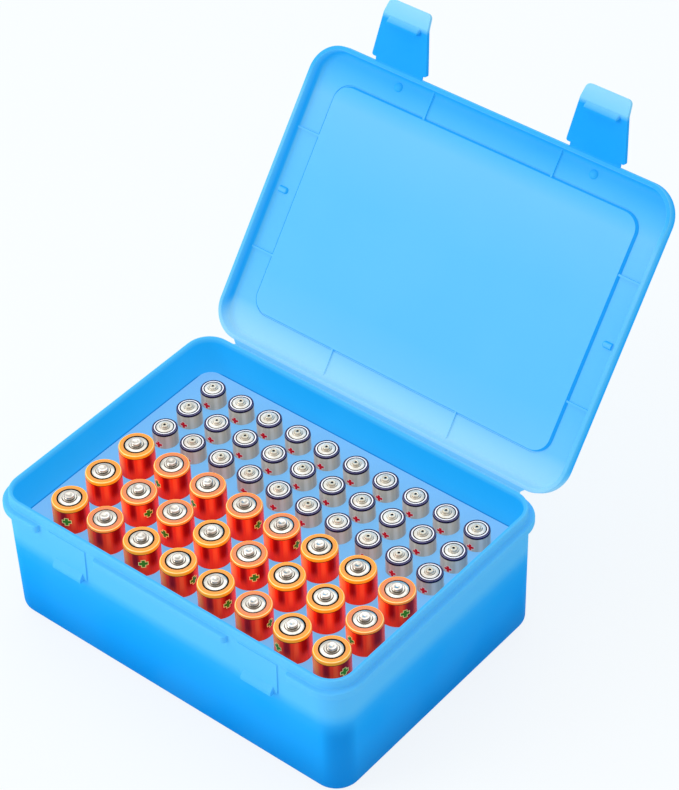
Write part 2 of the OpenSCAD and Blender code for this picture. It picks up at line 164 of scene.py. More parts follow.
class Workpiece:
    """A mesh that is being made, shaped with operators in edit mode.

    Attributes:
        MERGE: Distance at which two points become one, in millimetres.
        FLAT: Angle between two faces that still counts as flat, in degrees.
    """

    MERGE = 0.002
    FLAT = 0.2

    def __init__(self, obj: bpy.types.Object) -> None:
        """Keeps the object that the primitive operator has just added."""
        self.obj = obj

    @classmethod
    def _adopt(cls, name: str) -> "Workpiece":
        """Names the new primitive and puts its place and size into its mesh."""
        obj = bpy.context.active_object
        obj.name = name
        obj.data.name = name
        bpy.ops.object.transform_apply(location=True, rotation=True, scale=True)
        return cls(obj)

    @classmethod
    def block(cls, name: str, low: Point, high: Point) -> "Workpiece":
        """Starts from a cube stretched between two corners.

        Args:
            name: Name of the piece.
            low: Lowest corner, in millimetres.
            high: Highest corner, in millimetres.

        Returns:
            The new workpiece.
        """
        bpy.ops.object.select_all(action="DESELECT")
        lo, hi = Vector(low) * MM, Vector(high) * MM
        bpy.ops.mesh.primitive_cube_add(size=1, location=(lo + hi) / 2, scale=hi - lo)
        return cls._adopt(name)

    @classmethod
    def rod(cls, name: str, radius: float, start: Point, length: float, sides: int,
            along: str = "Z") -> "Workpiece":
        """Starts from a cylinder.

        Args:
            name: Name of the piece.
            radius: Radius, in millimetres.
            start: Middle of its first end, in millimetres.
            length: Length, in millimetres.
            sides: Number of sides.
            along: Axis that it lies along, "X" or "Z".

        Returns:
            The new workpiece.
        """
        bpy.ops.object.select_all(action="DESELECT")
        direction = Vector((1, 0, 0)) if along == "X" else UP
        turn = (0, math.pi / 2, 0) if along == "X" else (0, 0, 0)
        middle = (Vector(start) + direction * length / 2) * MM
        bpy.ops.mesh.primitive_cylinder_add(vertices=sides, radius=radius * MM, depth=length * MM,
                                            location=middle, rotation=turn)
        return cls._adopt(name)

    def activate(self) -> None:
        """Makes this the only selected object, and the active one."""
        if bpy.context.mode != "OBJECT":
            bpy.ops.object.mode_set(mode="OBJECT")
        bpy.ops.object.select_all(action="DESELECT")
        self.obj.select_set(True)
        bpy.context.view_layer.objects.active = self.obj

    def edit(self, kind: str) -> bmesh.types.BMesh:
        """Opens edit mode with nothing selected.

        Args:
            kind: "FACE" or "EDGE", what will be picked.

        Returns:
            The mesh under edit.
        """
        if bpy.context.view_layer.objects.active is not self.obj or bpy.context.mode != "EDIT_MESH":
            self.activate()
            bpy.ops.object.mode_set(mode="EDIT")
        bpy.ops.mesh.select_mode(type=kind)
        bpy.ops.mesh.select_all(action="DESELECT")
        return bmesh.from_edit_mesh(self.obj.data)

    def done(self) -> "Workpiece":
        """Goes back to object mode."""
        if bpy.context.mode != "OBJECT":
            bpy.ops.object.mode_set(mode="OBJECT")
        return self

    def pick_faces(self, test: PlaceTest) -> "Workpiece":
        """Selects faces by their middle, in millimetres, and their normal."""
        mesh = self.edit("FACE")
        return self._pick(mesh, [face for face in mesh.faces
                                 if test(face.calc_center_median() / MM, face.normal)])

    def pick_edges(self, test: PlaceTest) -> "Workpiece":
        """Selects edges by their middle, in millimetres, and their direction."""
        mesh = self.edit("EDGE")
        ends = {edge: (edge.verts[0].co, edge.verts[1].co) for edge in mesh.edges}
        return self._pick(mesh, [edge for edge, (first, last) in ends.items()
                                 if test((first + last) / 2 / MM, (last - first).normalized())])

    def _pick(self, mesh: bmesh.types.BMesh, found: list) -> "Workpiece":
        """Selects the faces or edges that a test found."""
        if not found:
            raise RuntimeError(f"{self.obj.name}: nothing is there to pick")
        for element in found:
            element.select = True
        mesh.select_flush_mode()
        bmesh.update_edit_mesh(self.obj.data)
        return self

    def round_edges(self, radius: float, count: int) -> "Workpiece":
        """Bevels the picked edges to a round of that radius."""
        bpy.ops.mesh.bevel(offset=radius * MM, offset_type="OFFSET", segments=count, profile=0.5,
                           affect="EDGES")
        return self

    def walk(self, facing: Vector, steps: Iterable[Step]) -> "Workpiece":
        """Moves the picked face through a list of steps and leaves new walls behind it.

        Args:
            facing: Normal of the picked face.
            steps: The steps, in order.

        Returns:
            This workpiece.
        """
        for step in steps:
            if step.shrink:
                bpy.ops.mesh.inset(thickness=step.shrink * MM, depth=step.rise * MM, use_even_offset=True)
            else:
                self.pull(facing * step.rise)
        return self

    def walk_from(self, facing: Vector, steps: Iterable[Step]) -> "Workpiece":
        """Picks the faces that look one way and moves them through a list of steps."""
        return self.pick_faces(looks(facing)).walk(facing, steps)

    def pull(self, way: Point) -> "Workpiece":
        """Extrudes the picked faces by a vector in millimetres."""
        bpy.ops.mesh.extrude_region_move(TRANSFORM_OT_translate={"value": Vector(way) * MM})
        return self

    def shift(self, way: Point) -> "Workpiece":
        """Moves what is picked by a vector in millimetres."""
        bpy.ops.transform.translate(value=Vector(way) * MM)
        return self

    def stretch(self, factors: Point, middle: Point) -> "Workpiece":
        """Scales what is picked about a point in millimetres."""
        bpy.ops.transform.resize(value=factors, center_override=Vector(middle) * MM)
        return self

    def spin(self, middle: Point, degrees: float, count: int) -> "Workpiece":
        """Spins the picked face about a line along X through a point in millimetres."""
        bpy.ops.mesh.spin(steps=count, angle=-math.radians(degrees), center=Vector(middle) * MM,
                          axis=(1, 0, 0))
        return self

    def modify(self, kind: str, **settings: object) -> "Workpiece":
        """Adds a modifier with these settings and applies it."""
        self.activate()
        modifier = self.obj.modifiers.new(kind.lower(), kind)
        for key, value in settings.items():
            setattr(modifier, key, value)
        bpy.ops.object.modifier_apply(modifier=modifier.name)
        return self

    def combine(self, others: Iterable["Workpiece"], operation: str) -> "Workpiece":
        """Adds other workpieces to this one or cuts them from it.

        Args:
            others: The workpieces, which are used up.
            operation: "UNION" or "DIFFERENCE".

        Returns:
            This workpiece.
        """
        for other in others:
            other.done()
            self.modify("BOOLEAN", object=other.obj, operation=operation, solver="EXACT")
            bpy.data.objects.remove(other.obj)
        return self

    def paint(self, index: int) -> "Workpiece":
        """Gives the picked faces a material slot, which walls walked from them take over."""
        mesh = bmesh.from_edit_mesh(self.obj.data)
        for face in mesh.faces:
            if face.select:
                face.material_index = index
        bmesh.update_edit_mesh(self.obj.data)
        return self

    def place(self, matrix: Matrix) -> "Workpiece":
        """Moves the finished mesh to its place and leaves the object at the origin."""
        self.activate()
        self.obj.matrix_world = matrix
        bpy.ops.object.transform_apply(location=True, rotation=True, scale=True)
        return self

    def ease(self, width: float, count: int = 2, angle: float = 32) -> "Workpiece":
        """Rounds what sharp edges are left, and smooths the shading without bulging the flats.

        Args:
            width: Width of the round, in millimetres.
            count: Segments of the round.
            angle: Least angle between two faces that counts as an edge, in degrees.

        Returns:
            This workpiece.
        """
        self.done()
        self.activate()
        bpy.ops.object.mode_set(mode="EDIT")
        bpy.ops.mesh.select_all(action="SELECT")
        bpy.ops.mesh.remove_doubles(threshold=self.MERGE * MM)
        bpy.ops.mesh.dissolve_limited(angle_limit=math.radians(self.FLAT))
        bpy.ops.mesh.normals_make_consistent(inside=False)
        bpy.ops.object.mode_set(mode="OBJECT")
        self.modify("BEVEL", width=width * MM, segments=count, limit_method="ANGLE",
                    angle_limit=math.radians(angle), use_clamp_overlap=True, miter_outer="MITER_ARC")
        self.activate()
        bpy.ops.object.shade_smooth_by_angle(angle=math.radians(SHARP))
        self.modify("WEIGHTED_NORMAL", mode="FACE_AREA", keep_sharp=True)
        return self

    def dress(self, material: Material) -> "Workpiece":
        """Gives the whole piece one material."""
        self.obj.data.materials.clear()
        self.obj.data.materials.append(material)
        return self


# Nodes for the materials


class Wiring:
    """Adds nodes to a tree and joins them."""

    def __init__(self, tree: bpy.types.NodeTree) -> None:
        """Keeps the tree, emptied of its first nodes."""
        self.tree = tree
        tree.nodes.clear()

    def node(self, kind: str, settings: dict[str, object] | None = None,
             **inputs: object) -> Node:
        """Adds one node.

        Args:
            kind: Blender's name of the node's type.
            settings: Properties of the node.
            **inputs: Values or sockets for its inputs, with spaces as underscores.

        Returns:
            The node.
        """
        made = self.tree.nodes.new(kind)
        for key, value in (settings or {}).items():
            setattr(made, key, value)
        self.feed_all(made, **inputs)
        return made

    def group(self, tree: bpy.types.NodeTree, **inputs: object) -> Node:
        """Adds a shared node group."""
        return self.node("ShaderNodeGroup", {"node_tree": tree}, **inputs)

    def feed(self, node: Node, name: str | int, value: object) -> None:
        """Sets an input to a value, or joins a socket to it."""
        socket = node.inputs[name]
        if isinstance(value, Socket):
            self.tree.links.new(value, socket)
        elif isinstance(value, tuple) and len(value) == 3 and socket.type == "RGBA":
            socket.default_value = (*value, 1)
        else:
            socket.default_value = value

    def feed_all(self, node: Node, **inputs: object) -> None:
        """Feeds several inputs, with the spaces in their names as underscores."""
        for key, value in inputs.items():
            self.feed(node, key.replace("_", " "), value)

    def in_order(self, node: Node, *values: object) -> Node:
        """Feeds a node's first inputs, in their order, and returns the node."""
        for index, value in enumerate(values):
            self.feed(node, index, value)
        return node

    def math(self, operation: str, first: object, second: object = 0.0,
             clamp: bool = False) -> Socket:
        """Adds a Math node and returns its result."""
        made = self.node("ShaderNodeMath", {"operation": operation, "use_clamp": clamp})
        return self.in_order(made, first, second).outputs[0]

    def mix(self, share: object, first: object, second: object) -> Socket:
        """Adds a colour mix and returns its result."""
        made = self.node("ShaderNodeMix", {"data_type": "RGBA"})
        for index, value in ((0, share), (6, first), (7, second)):
            self.feed(made, index, value)
        return made.outputs[2]

    def dot(self, first: object, second: Point) -> Socket:
        """Adds a dot product of a vector with a fixed direction and returns its value."""
        made = self.node("ShaderNodeVectorMath", {"operation": "DOT_PRODUCT"})
        return self.in_order(made, first, second).outputs["Value"]

    def tones(self, height: object, table: Tones) -> object:
        """Picks a colour by height.

        Args:
            height: A height, in metres.
            table: Heights in millimetres and the colour at each, from low to high.

        Returns:
            The colour, or a socket that carries it.
        """
        if len(table) == 1:
            return table[0][1]
        low, high = table[0][0], table[-1][0]
        made = self.node("ShaderNodeValToRGB")
        self.feed(made, 0, self.ramp(height, low * MM, high * MM, smooth=False))
        elements = made.color_ramp.elements
        elements[0].color, elements[1].color = (*table[0][1], 1), (*table[-1][1], 1)
        for at, colour in table[1:-1]:
            elements.new((at - low) / (high - low)).color = (*colour, 1)
        return made.outputs[0]

    def ramp(self, value: object, low: float, high: float, to_low: float = 0.0, to_high: float = 1.0,
             smooth: bool = True) -> Socket:
        """Maps a range of values to another, with soft ends, and returns the result."""
        made = self.node("ShaderNodeMapRange", {"interpolation_type": "SMOOTHSTEP" if smooth else "LINEAR"})
        return self.in_order(made, value, low, high, to_low, to_high).outputs[0]


def new_group(name: str, vectors: tuple[str, ...], numbers: dict[str, float],
              outputs: tuple[str, ...]) -> tuple[Wiring, Node, Node]:
    """Starts a shader node group.

    Args:
        name: Name of the group.
        vectors: Names of its vector inputs.
        numbers: Names of its number inputs, and their defaults.
        outputs: Names of its outputs, which are numbers.

    Returns:
        Its wiring, its input node and its output node.
    """
    tree = bpy.data.node_groups.new(name, "ShaderNodeTree")
    for label in vectors:
        tree.interface.new_socket(label, in_out="INPUT", socket_type="NodeSocketVector")
    for label, default in numbers.items():
        socket = tree.interface.new_socket(label, in_out="INPUT", socket_type="NodeSocketFloat")
        socket.default_value = default
    for label in outputs:
        tree.interface.new_socket(label, in_out="OUTPUT", socket_type="NodeSocketFloat")
    wiring = Wiring(tree)
    return wiring, wiring.node("NodeGroupInput"), wiring.node("NodeGroupOutput")


class Effects:
    """The node groups that several materials share, each built once.

    Attributes:
        CLOUDS: Noise values between which the cloudiness comes in.
        STREAKS: Noise values between which the streaks come in.
        STREAK_STRETCH: How much slower the streaks change along a cell than across it.
        FINER: How much finer the grain of a sleeve is than its streaks.
    """

    CLOUDS = (0.3, 0.7)
    STREAKS = (0.38, 0.62)
    STREAK_STRETCH = 0.15
    FINER = 9.0

    def __init__(self) -> None:
        """Builds the groups."""
        self.grain = self._grain()
        self.outer_face = self._outer_face()
        self.plus = self._plus()
        self.streaks = self._streaks()

    def _grain(self) -> bpy.types.NodeTree:
        """Fine grain and slow cloudiness of a moulded surface, on any coordinates in metres."""
        wiring, given, result = new_group(
            "moulded_surface", ("Vector",), {"Grain Size": 0.5 * MM, "Cloud Size": 30 * MM},
            ("Height", "Cloud"))
        grain_scale = wiring.math("DIVIDE", 1.0, given.outputs["Grain Size"])
        cloud_scale = wiring.math("DIVIDE", 1.0, given.outputs["Cloud Size"])
        place = given.outputs["Vector"]
        grain = wiring.node("ShaderNodeTexNoise", Vector=place, Scale=grain_scale, Detail=2.0)
        cloud = wiring.node("ShaderNodeTexNoise", Vector=place, Scale=cloud_scale, Detail=1.0)
        wiring.feed_all(result, Height=grain.outputs[0],
                        Cloud=wiring.ramp(cloud.outputs[0], *self.CLOUDS))
        return wiring.tree

    @staticmethod
    def _outer_face() -> bpy.types.NodeTree:
        """A mask of what lies outside a rounded rectangle seen from above, such as a tub's outer faces."""
        wiring, given, result = new_group(
            "outer_face", ("Vector",),
            {"Half Width": 0.0, "Half Depth": 0.0, "Corner": 10 * MM, "Softness": 0.8 * MM}, ("Mask",))
        parts = wiring.node("ShaderNodeSeparateXYZ", Vector=given.outputs["Vector"])
        past = [wiring.math("ADD", wiring.math("SUBTRACT", wiring.math("ABSOLUTE", parts.outputs[axis]),
                                               given.outputs[name]), given.outputs["Corner"])
                for axis, name in ((0, "Half Width"), (1, "Half Depth"))]
        round_part = [wiring.math("POWER", wiring.math("MAXIMUM", value, 0.0), 2.0) for value in past]
        reach = wiring.math("ADD", wiring.math("SQRT", wiring.math("ADD", *round_part)),
                            wiring.math("MINIMUM", wiring.math("MAXIMUM", *past), 0.0))
        outside = wiring.math("SUBTRACT", reach, given.outputs["Corner"])
        wiring.feed(result, "Mask", wiring.ramp(outside, 0, given.outputs["Softness"]))
        return wiring.tree

    @staticmethod
    def _plus() -> bpy.types.NodeTree:
        """A plain plus sign on a wrapped surface, halfway round it."""
        wiring, given, result = new_group(
            "plus_sign", (),
            {"Round": 0.0, "Height": 0.0, "Girth": 45.0, "Length": 50.0, "Middle": 40.0, "Arm": 1.6,
             "Half Width": 0.45}, ("Mask",))
        off_middle = wiring.math("SUBTRACT", given.outputs["Round"], 0.5)
        across = wiring.math("MULTIPLY", off_middle, given.outputs["Girth"])
        height = wiring.math("MULTIPLY", given.outputs["Height"], given.outputs["Length"])
        along = wiring.math("SUBTRACT", height, given.outputs["Middle"])
        across, along = wiring.math("ABSOLUTE", across), wiring.math("ABSOLUTE", along)
        bars = []
        for thin, long in ((across, along), (along, across)):
            bars.append(wiring.math("MULTIPLY", wiring.math("LESS_THAN", thin, given.outputs["Half Width"]),
                                    wiring.math("LESS_THAN", long, given.outputs["Arm"])))
        wiring.feed(result, "Mask", wiring.math("MAXIMUM", *bars))
        return wiring.tree

    def _streaks(self) -> bpy.types.NodeTree:
        """Soft streaks along a cell, from its plan coordinates, so they close round it."""
        wiring, given, result = new_group(
            "sleeve_streaks", ("Plan",), {"Height": 0.0, "Scale": 6.0}, ("Streak", "Grain"))
        parts = wiring.node("ShaderNodeSeparateXYZ", Vector=given.outputs["Plan"])
        drawn = wiring.node("ShaderNodeCombineXYZ", X=parts.outputs[0], Y=parts.outputs[1],
                            Z=wiring.math("MULTIPLY", given.outputs["Height"], self.STREAK_STRETCH))
        scale = given.outputs["Scale"]
        coarse, fine = (wiring.node("ShaderNodeTexNoise", Vector=drawn.outputs[0], Scale=size, Detail=1.0)
                        for size in (scale, wiring.math("MULTIPLY", scale, self.FINER)))
        wiring.feed_all(result, Streak=wiring.ramp(coarse.outputs[0], *self.STREAKS),
                        Grain=fine.outputs[0])
        return wiring.tree


def new_material(name: str) -> tuple[Material, Wiring, Node]:
    """Starts a material with a Principled shader.

    Args:
        name: Name of the material.

    Returns:
        The material, its wiring and its shader.
    """
    material = bpy.data.materials.new(name)
    material.use_nodes = True
    wiring = Wiring(material.node_tree)
    shader = wiring.node("ShaderNodeBsdfPrincipled")
    wiring.node("ShaderNodeOutputMaterial", Surface=shader.outputs[0])
    return material, wiring, shader


@dataclass(frozen=True)
class PaintedLightStripe:
    """A soft upright stripe of painted light and shade on the side of a piece that faces one way: a painted
    reflection, a painted highlight or a band of painted shade.

    Attributes:
        azimuth: Way that it faces, in degrees from the front towards +X.
        spread: Angle from its middle to its edge, in degrees.
        colour: Its colour.
        strength: Its share at the middle.
    """

    azimuth: float
    spread: float
    colour: Colour
    strength: float

    def over(self, wiring: Wiring, normal: Socket, fade: Socket,
             colour: object) -> Socket:
        """Lays the stripe over a colour.

        Args:
            wiring: The material's node builder.
            normal: The surface's normal in the object's own frame.
            fade: How far up the stripe is, from 0 to 1.
            colour: The colour beneath.

        Returns:
            The mixed colour.
        """
        turn = math.radians(self.azimuth)
        facing = wiring.dot(normal, (math.sin(turn), -math.cos(turn), 0.0))
        share = wiring.ramp(facing, math.cos(math.radians(self.spread)), 1.0, 0.0, self.strength)
        return wiring.mix(wiring.math("MULTIPLY", share, fade), colour, self.colour)


@dataclass(frozen=True)
class MouldedPlastic:
    """Satin polypropylene, coloured through, whose tones carry painted light and shade, and whose emission
    is a painted glow for the light that shines through it.

    Attributes:
        name: Name of the finish.
        tones: Heights on the case in millimetres, and the colour at each, with painted light and shade in
            it.
        outer_tones: The same for the walls' outer faces, where they differ, with painted light and shade in
            it.
        walls: Half of the width and of the depth to the middle of the walls, in millimetres.
        facing: Direction that the flat part of the piece faces.
        turned_tones: Places along that direction in millimetres, and the colour there of the faces that
        turn away from it, where they differ: painted shade and painted highlight on those faces.
        turned_from: Heights between which those colours come in, in millimetres.
        turned_levels: Cosines between which a face stops counting as turned away.
        corner: A stripe of painted shade down an outer corner, if it has one.
        corner_top: Heights between which that stripe ends, in millimetres.
        roughness: Middle roughness.
        grain_size: Size of the grain, in millimetres.
        grain_depth: Depth of the grain, in millimetres.
        bump: Strength of the grain.
        cloud_size: Size of the cloudiness, in millimetres.
        cloud_colour: Colour that the cloudiness brings in.
        cloud_share: Its greatest share.
        spread: How far the roughness goes up and down.
        coat: Least and greatest weight of the clear coat.
        glow: Share of the light that passes under the surface.
        through: Share of its colour given off as emission: a painted glow for light that shines through the
            plastic from behind.
        through_apart: The same for the outer faces, or for the faces that turn away.
    """

    name: str
    tones: Tones
    outer_tones: Tones = ()
    walls: tuple[float, float] = (0.0, 0.0)
    facing: Point = (0.0, 0.0, 1.0)
    turned_tones: Tones = ()
    turned_from: tuple[float, float] = (0.0, 0.1)
    turned_levels: tuple[float, float] = (0.55, 0.97)
    corner: PaintedLightStripe | None = None
    corner_top: tuple[float, float] = (29.0, 40.0)
    roughness: float = 0.4
    grain_size: float = 0.6
    grain_depth: float = 0.004
    bump: float = 0.6
    cloud_size: float = 35.0
    cloud_colour: Colour = (0.1, 0.6, 1.0)
    cloud_share: float = 0.04
    spread: float = 0.03
    coat: tuple[float, float] = (0.07, 0.11)
    glow: float = 0.15
    through: float = 0.15
    through_apart: float = 0.15

    def material(self, effects: Effects) -> Material:
        """Builds the material."""
        material, wiring, shader = new_material(self.name)
        place = wiring.node("ShaderNodeTexCoord").outputs["Object"]
        surface = wiring.group(effects.grain, Vector=place, Grain_Size=self.grain_size * MM,
                               Cloud_Size=self.cloud_size * MM)
        cloud = surface.outputs["Cloud"]
        bump = wiring.node("ShaderNodeBump", Height=surface.outputs["Height"],
                           Distance=self.grain_depth * MM, Strength=self.bump)
        cloudy = wiring.ramp(cloud, 0, 1, 0.0, self.cloud_share)
        apart, colour = self._colour(wiring, effects, place)
        colour = wiring.mix(cloudy, colour, self.cloud_colour)
        share = wiring.ramp(apart, 0, 1, self.through, self.through_apart) if apart else self.through
        # The emission is a painted glow for light through the plastic
        wiring.feed_all(
            shader, Base_Color=wiring.mix(share, colour, (0.0, 0.0, 0.0)), Emission_Color=colour,
            Emission_Strength=share, Normal=bump.outputs[0], Subsurface_Weight=self.glow,
            Roughness=wiring.ramp(cloud, 0, 1, self.roughness - self.spread,
                                  self.roughness + self.spread),
            Subsurface_Radius=(0.3, 0.7, 1.0), Subsurface_Scale=2 * MM,
            Coat_Weight=wiring.ramp(cloud, 0, 1, *self.coat))
        shader.inputs["Coat Roughness"].default_value = 0.3
        shader.inputs["Specular IOR Level"].default_value = 0.0
        return material

    def _colour(self, wiring: Wiring, effects: Effects,
                place: Socket) -> tuple[Socket | None, object]:
        """Mixes the tones, with their painted light and shade, by height, by outer face and by direction.

        Args:
            wiring: The material's node builder.
            effects: The shared node groups.
            place: Object coordinates.

        Returns:
            The mask of the outer faces or of those that turn away, if they differ, and the colour.
        """
        height = wiring.node("ShaderNodeSeparateXYZ", Vector=place).outputs[2]
        normal = wiring.node("ShaderNodeTexCoord").outputs["Normal"]
        colour, apart = wiring.tones(height, self.tones), None
        if self.outer_tones:
            apart = wiring.group(effects.outer_face, Vector=place, Half_Width=self.walls[0] * MM,
                                 Half_Depth=self.walls[1] * MM).outputs["Mask"]
            outer = wiring.tones(height, self.outer_tones)
            if self.corner:
                below = wiring.ramp(height, self.corner_top[0] * MM, self.corner_top[1] * MM, 1.0, 0.0)
                outer = self.corner.over(wiring, normal, below, outer)
            colour = wiring.mix(apart, colour, outer)
        if self.turned_tones:
            level = wiring.math("ABSOLUTE", wiring.dot(normal, self.facing))
            above = wiring.ramp(height, self.turned_from[0] * MM, self.turned_from[1] * MM)
            away = wiring.ramp(level, *self.turned_levels, 1.0, 0.0)
            apart = wiring.math("MULTIPLY", away, above)
            turned = wiring.tones(wiring.dot(place, self.facing), self.turned_tones)
            colour = wiring.mix(apart, colour, turned)
        return apart, colour


@dataclass(frozen=True)
class PrintedSleeve:
    """The glossy printed foil round a cell.

    Attributes:
        name: Name of the finish.
        colour: Main colour.
        streak_colour: Colour of the soft streaks along the cell.
        light_stripes: Its stripes of painted reflection and painted shade.
        mark_colour: Colour of the plus sign.
        mark_edge_colour: Colour of its edge.
        girth: Distance round the cell, in millimetres.
        length: Length of the cell, in millimetres.
        mark_drop: Distance from the plus sign down from the top of the cell, in millimetres.
        mark_arm: Length of an arm of the plus sign, in millimetres.
        mark_slim: Half of an arm's width, as a share of its length.
        mark_edge: Width of the plus sign's edge, in millimetres.
        metallic: How much of a metal the foil is.
        roughness: Its roughness.
        coat: Weight of its clear coat.
        painted_glow: Emission, as a share of its colour: a painted glow that stands in for light given back
            from between the cells.
        fade_drops: Distances down from the top between which the stripes come in, in millimetres.
    """

    name: str
    colour: Colour
    streak_colour: Colour
    light_stripes: tuple[PaintedLightStripe, ...]
    mark_colour: Colour
    mark_edge_colour: Colour
    girth: float
    length: float
    mark_drop: float
    mark_arm: float
    metallic: float
    roughness: float
    coat: float
    painted_glow: float
    fade_drops: tuple[float, float] = (13.5, 7.5)
    mark_slim: float = 0.38
    mark_edge: float = 0.25

    def material(self, effects: Effects) -> Material:
        """Builds the material."""
        material, wiring, shader = new_material(self.name)
        round_it, plan = (wiring.node("ShaderNodeUVMap", {"uv_map": name}).outputs[0]
                          for name in ("wrap", "plan"))
        wrap = wiring.node("ShaderNodeSeparateXYZ", Vector=round_it)
        streaks = wiring.group(effects.streaks, Plan=plan, Height=wrap.outputs[1])
        streak, grain = streaks.outputs["Streak"], streaks.outputs["Grain"]
        body = wiring.mix(streak, self.colour, self.streak_colour)
        normal = wiring.node("ShaderNodeTexCoord").outputs["Normal"]
        fade = wiring.ramp(wrap.outputs[1], *(1 - drop / self.length for drop in self.fade_drops))
        # Painted reflections and painted shade, laid on by the way each face looks
        for light_stripe in self.light_stripes:
            body = light_stripe.over(wiring, normal, fade, body)
        masks = [self._plus(wiring, effects, wrap, grow) for grow in (self.mark_edge, 0.0)]
        marked = wiring.mix(masks[1], wiring.mix(masks[0], body, self.mark_edge_colour), self.mark_colour)
        # The emission is a painted glow
        wiring.feed_all(
            shader, Base_Color=marked, Emission_Color=marked, Emission_Strength=self.painted_glow,
            Metallic=wiring.ramp(masks[0], 0, 1, self.metallic, 0.05),
            Roughness=wiring.ramp(grain, 0.3, 0.7, self.roughness - 0.05, self.roughness + 0.06),
            Coat_Weight=wiring.ramp(streak, 0, 1, self.coat, self.coat + 0.04))
        shader.inputs["Coat Roughness"].default_value = 0.12
        shader.inputs["Specular IOR Level"].default_value = 0.08
        return material

    def _plus(self, wiring: Wiring, effects: Effects, wrap: Node,
              grow: float) -> Socket:
        """The mask of the plus sign, grown by some millimetres."""
        return wiring.group(
            effects.plus, Round=wrap.outputs[0], Height=wrap.outputs[1], Girth=self.girth,
            Length=self.length, Middle=self.length - self.mark_drop, Arm=self.mark_arm + grow,
            Half_Width=self.mark_slim * self.mark_arm + grow).outputs["Mask"]


@dataclass(frozen=True)
class PlainFinish:
    """A finish of one colour with fine grain, such as plated steel, a printed ring, a seal, a painted
    highlight or a band of painted shade.

    Attributes:
        name: Name of the finish.
        colour: Its colour.
        worn_colour: Its colour in the cloudy places.
        metallic: How much of a metal it is.
        roughness: Its roughness.
        painted_glow: Emission, as a share of its colour: a painted glow that stands in for light given back
            from between the cells.
        specular: Strength of its own shine.
        grain_size: Size of the grain, in millimetres.
        grain_depth: Depth of the grain, in millimetres.
        cloud_size: Size of the cloudiness, in millimetres.
    """

    name: str
    colour: Colour
    worn_colour: Colour
    metallic: float
    roughness: float
    painted_glow: float = 0.0
    specular: float = 0.5
    grain_size: float = 0.3
    grain_depth: float = 0.003
    cloud_size: float = 3.0

    def material(self, effects: Effects) -> Material:
        """Builds the material."""
        material, wiring, shader = new_material(self.name)
        place = wiring.node("ShaderNodeTexCoord").outputs["Object"]
        surface = wiring.group(effects.grain, Vector=place, Grain_Size=self.grain_size * MM,
                               Cloud_Size=self.cloud_size * MM)
        height = surface.outputs["Height"]
        bump = wiring.node("ShaderNodeBump", Height=height, Distance=self.grain_depth * MM, Strength=0.5)
        colour = wiring.mix(surface.outputs["Cloud"], self.colour, self.worn_colour)
        # The emission is a painted glow
        wiring.feed_all(
            shader, Base_Color=colour, Emission_Color=colour, Emission_Strength=self.painted_glow,
            Roughness=wiring.ramp(height, 0.3, 0.7, self.roughness - 0.04, self.roughness + 0.05),
            Metallic=self.metallic, Normal=bump.outputs[0])
        shader.inputs["Specular IOR Level"].default_value = self.specular
        return material


# Sub-assemblies


@dataclass
class Outline:
    """The case's rounded outline, and what its rim and lid share.

    Attributes:
        half_w: Half of the width over the flange.
        half_d: Half of the depth over the flange.
        corner_r: Radius of the corners at the flange.
        rim_z: Height of the flange's top.
        latch_x: Distance from the middle to each latch.
        hinge_y: Distance from the middle back to the lid's turning line.
        hinge_z: Height of the lid's turning line.
        corner_steps: Segments of each round corner.
    """

    half_w: float
    half_d: float = 63.7
    corner_r: float = 13.4
    rim_z: float = 56.15
    latch_x: float = 47.6
    hinge_y: float = 65.0
    hinge_z: float = 56.3
    corner_steps: int = 14

    def prism(self, name: str, low: float, high: float, middle_y: float = 0.0) -> Workpiece:
        """Makes a prism of this outline between two heights, with its corners rounded."""
        piece = Workpiece.block(name, (-self.half_w, middle_y - self.half_d, low),
                                (self.half_w, middle_y + self.half_d, high))
        piece.pick_edges(lambda _, way: abs(way.z) > ALONG)
        piece.round_edges(self.corner_r, self.corner_steps)
        return piece


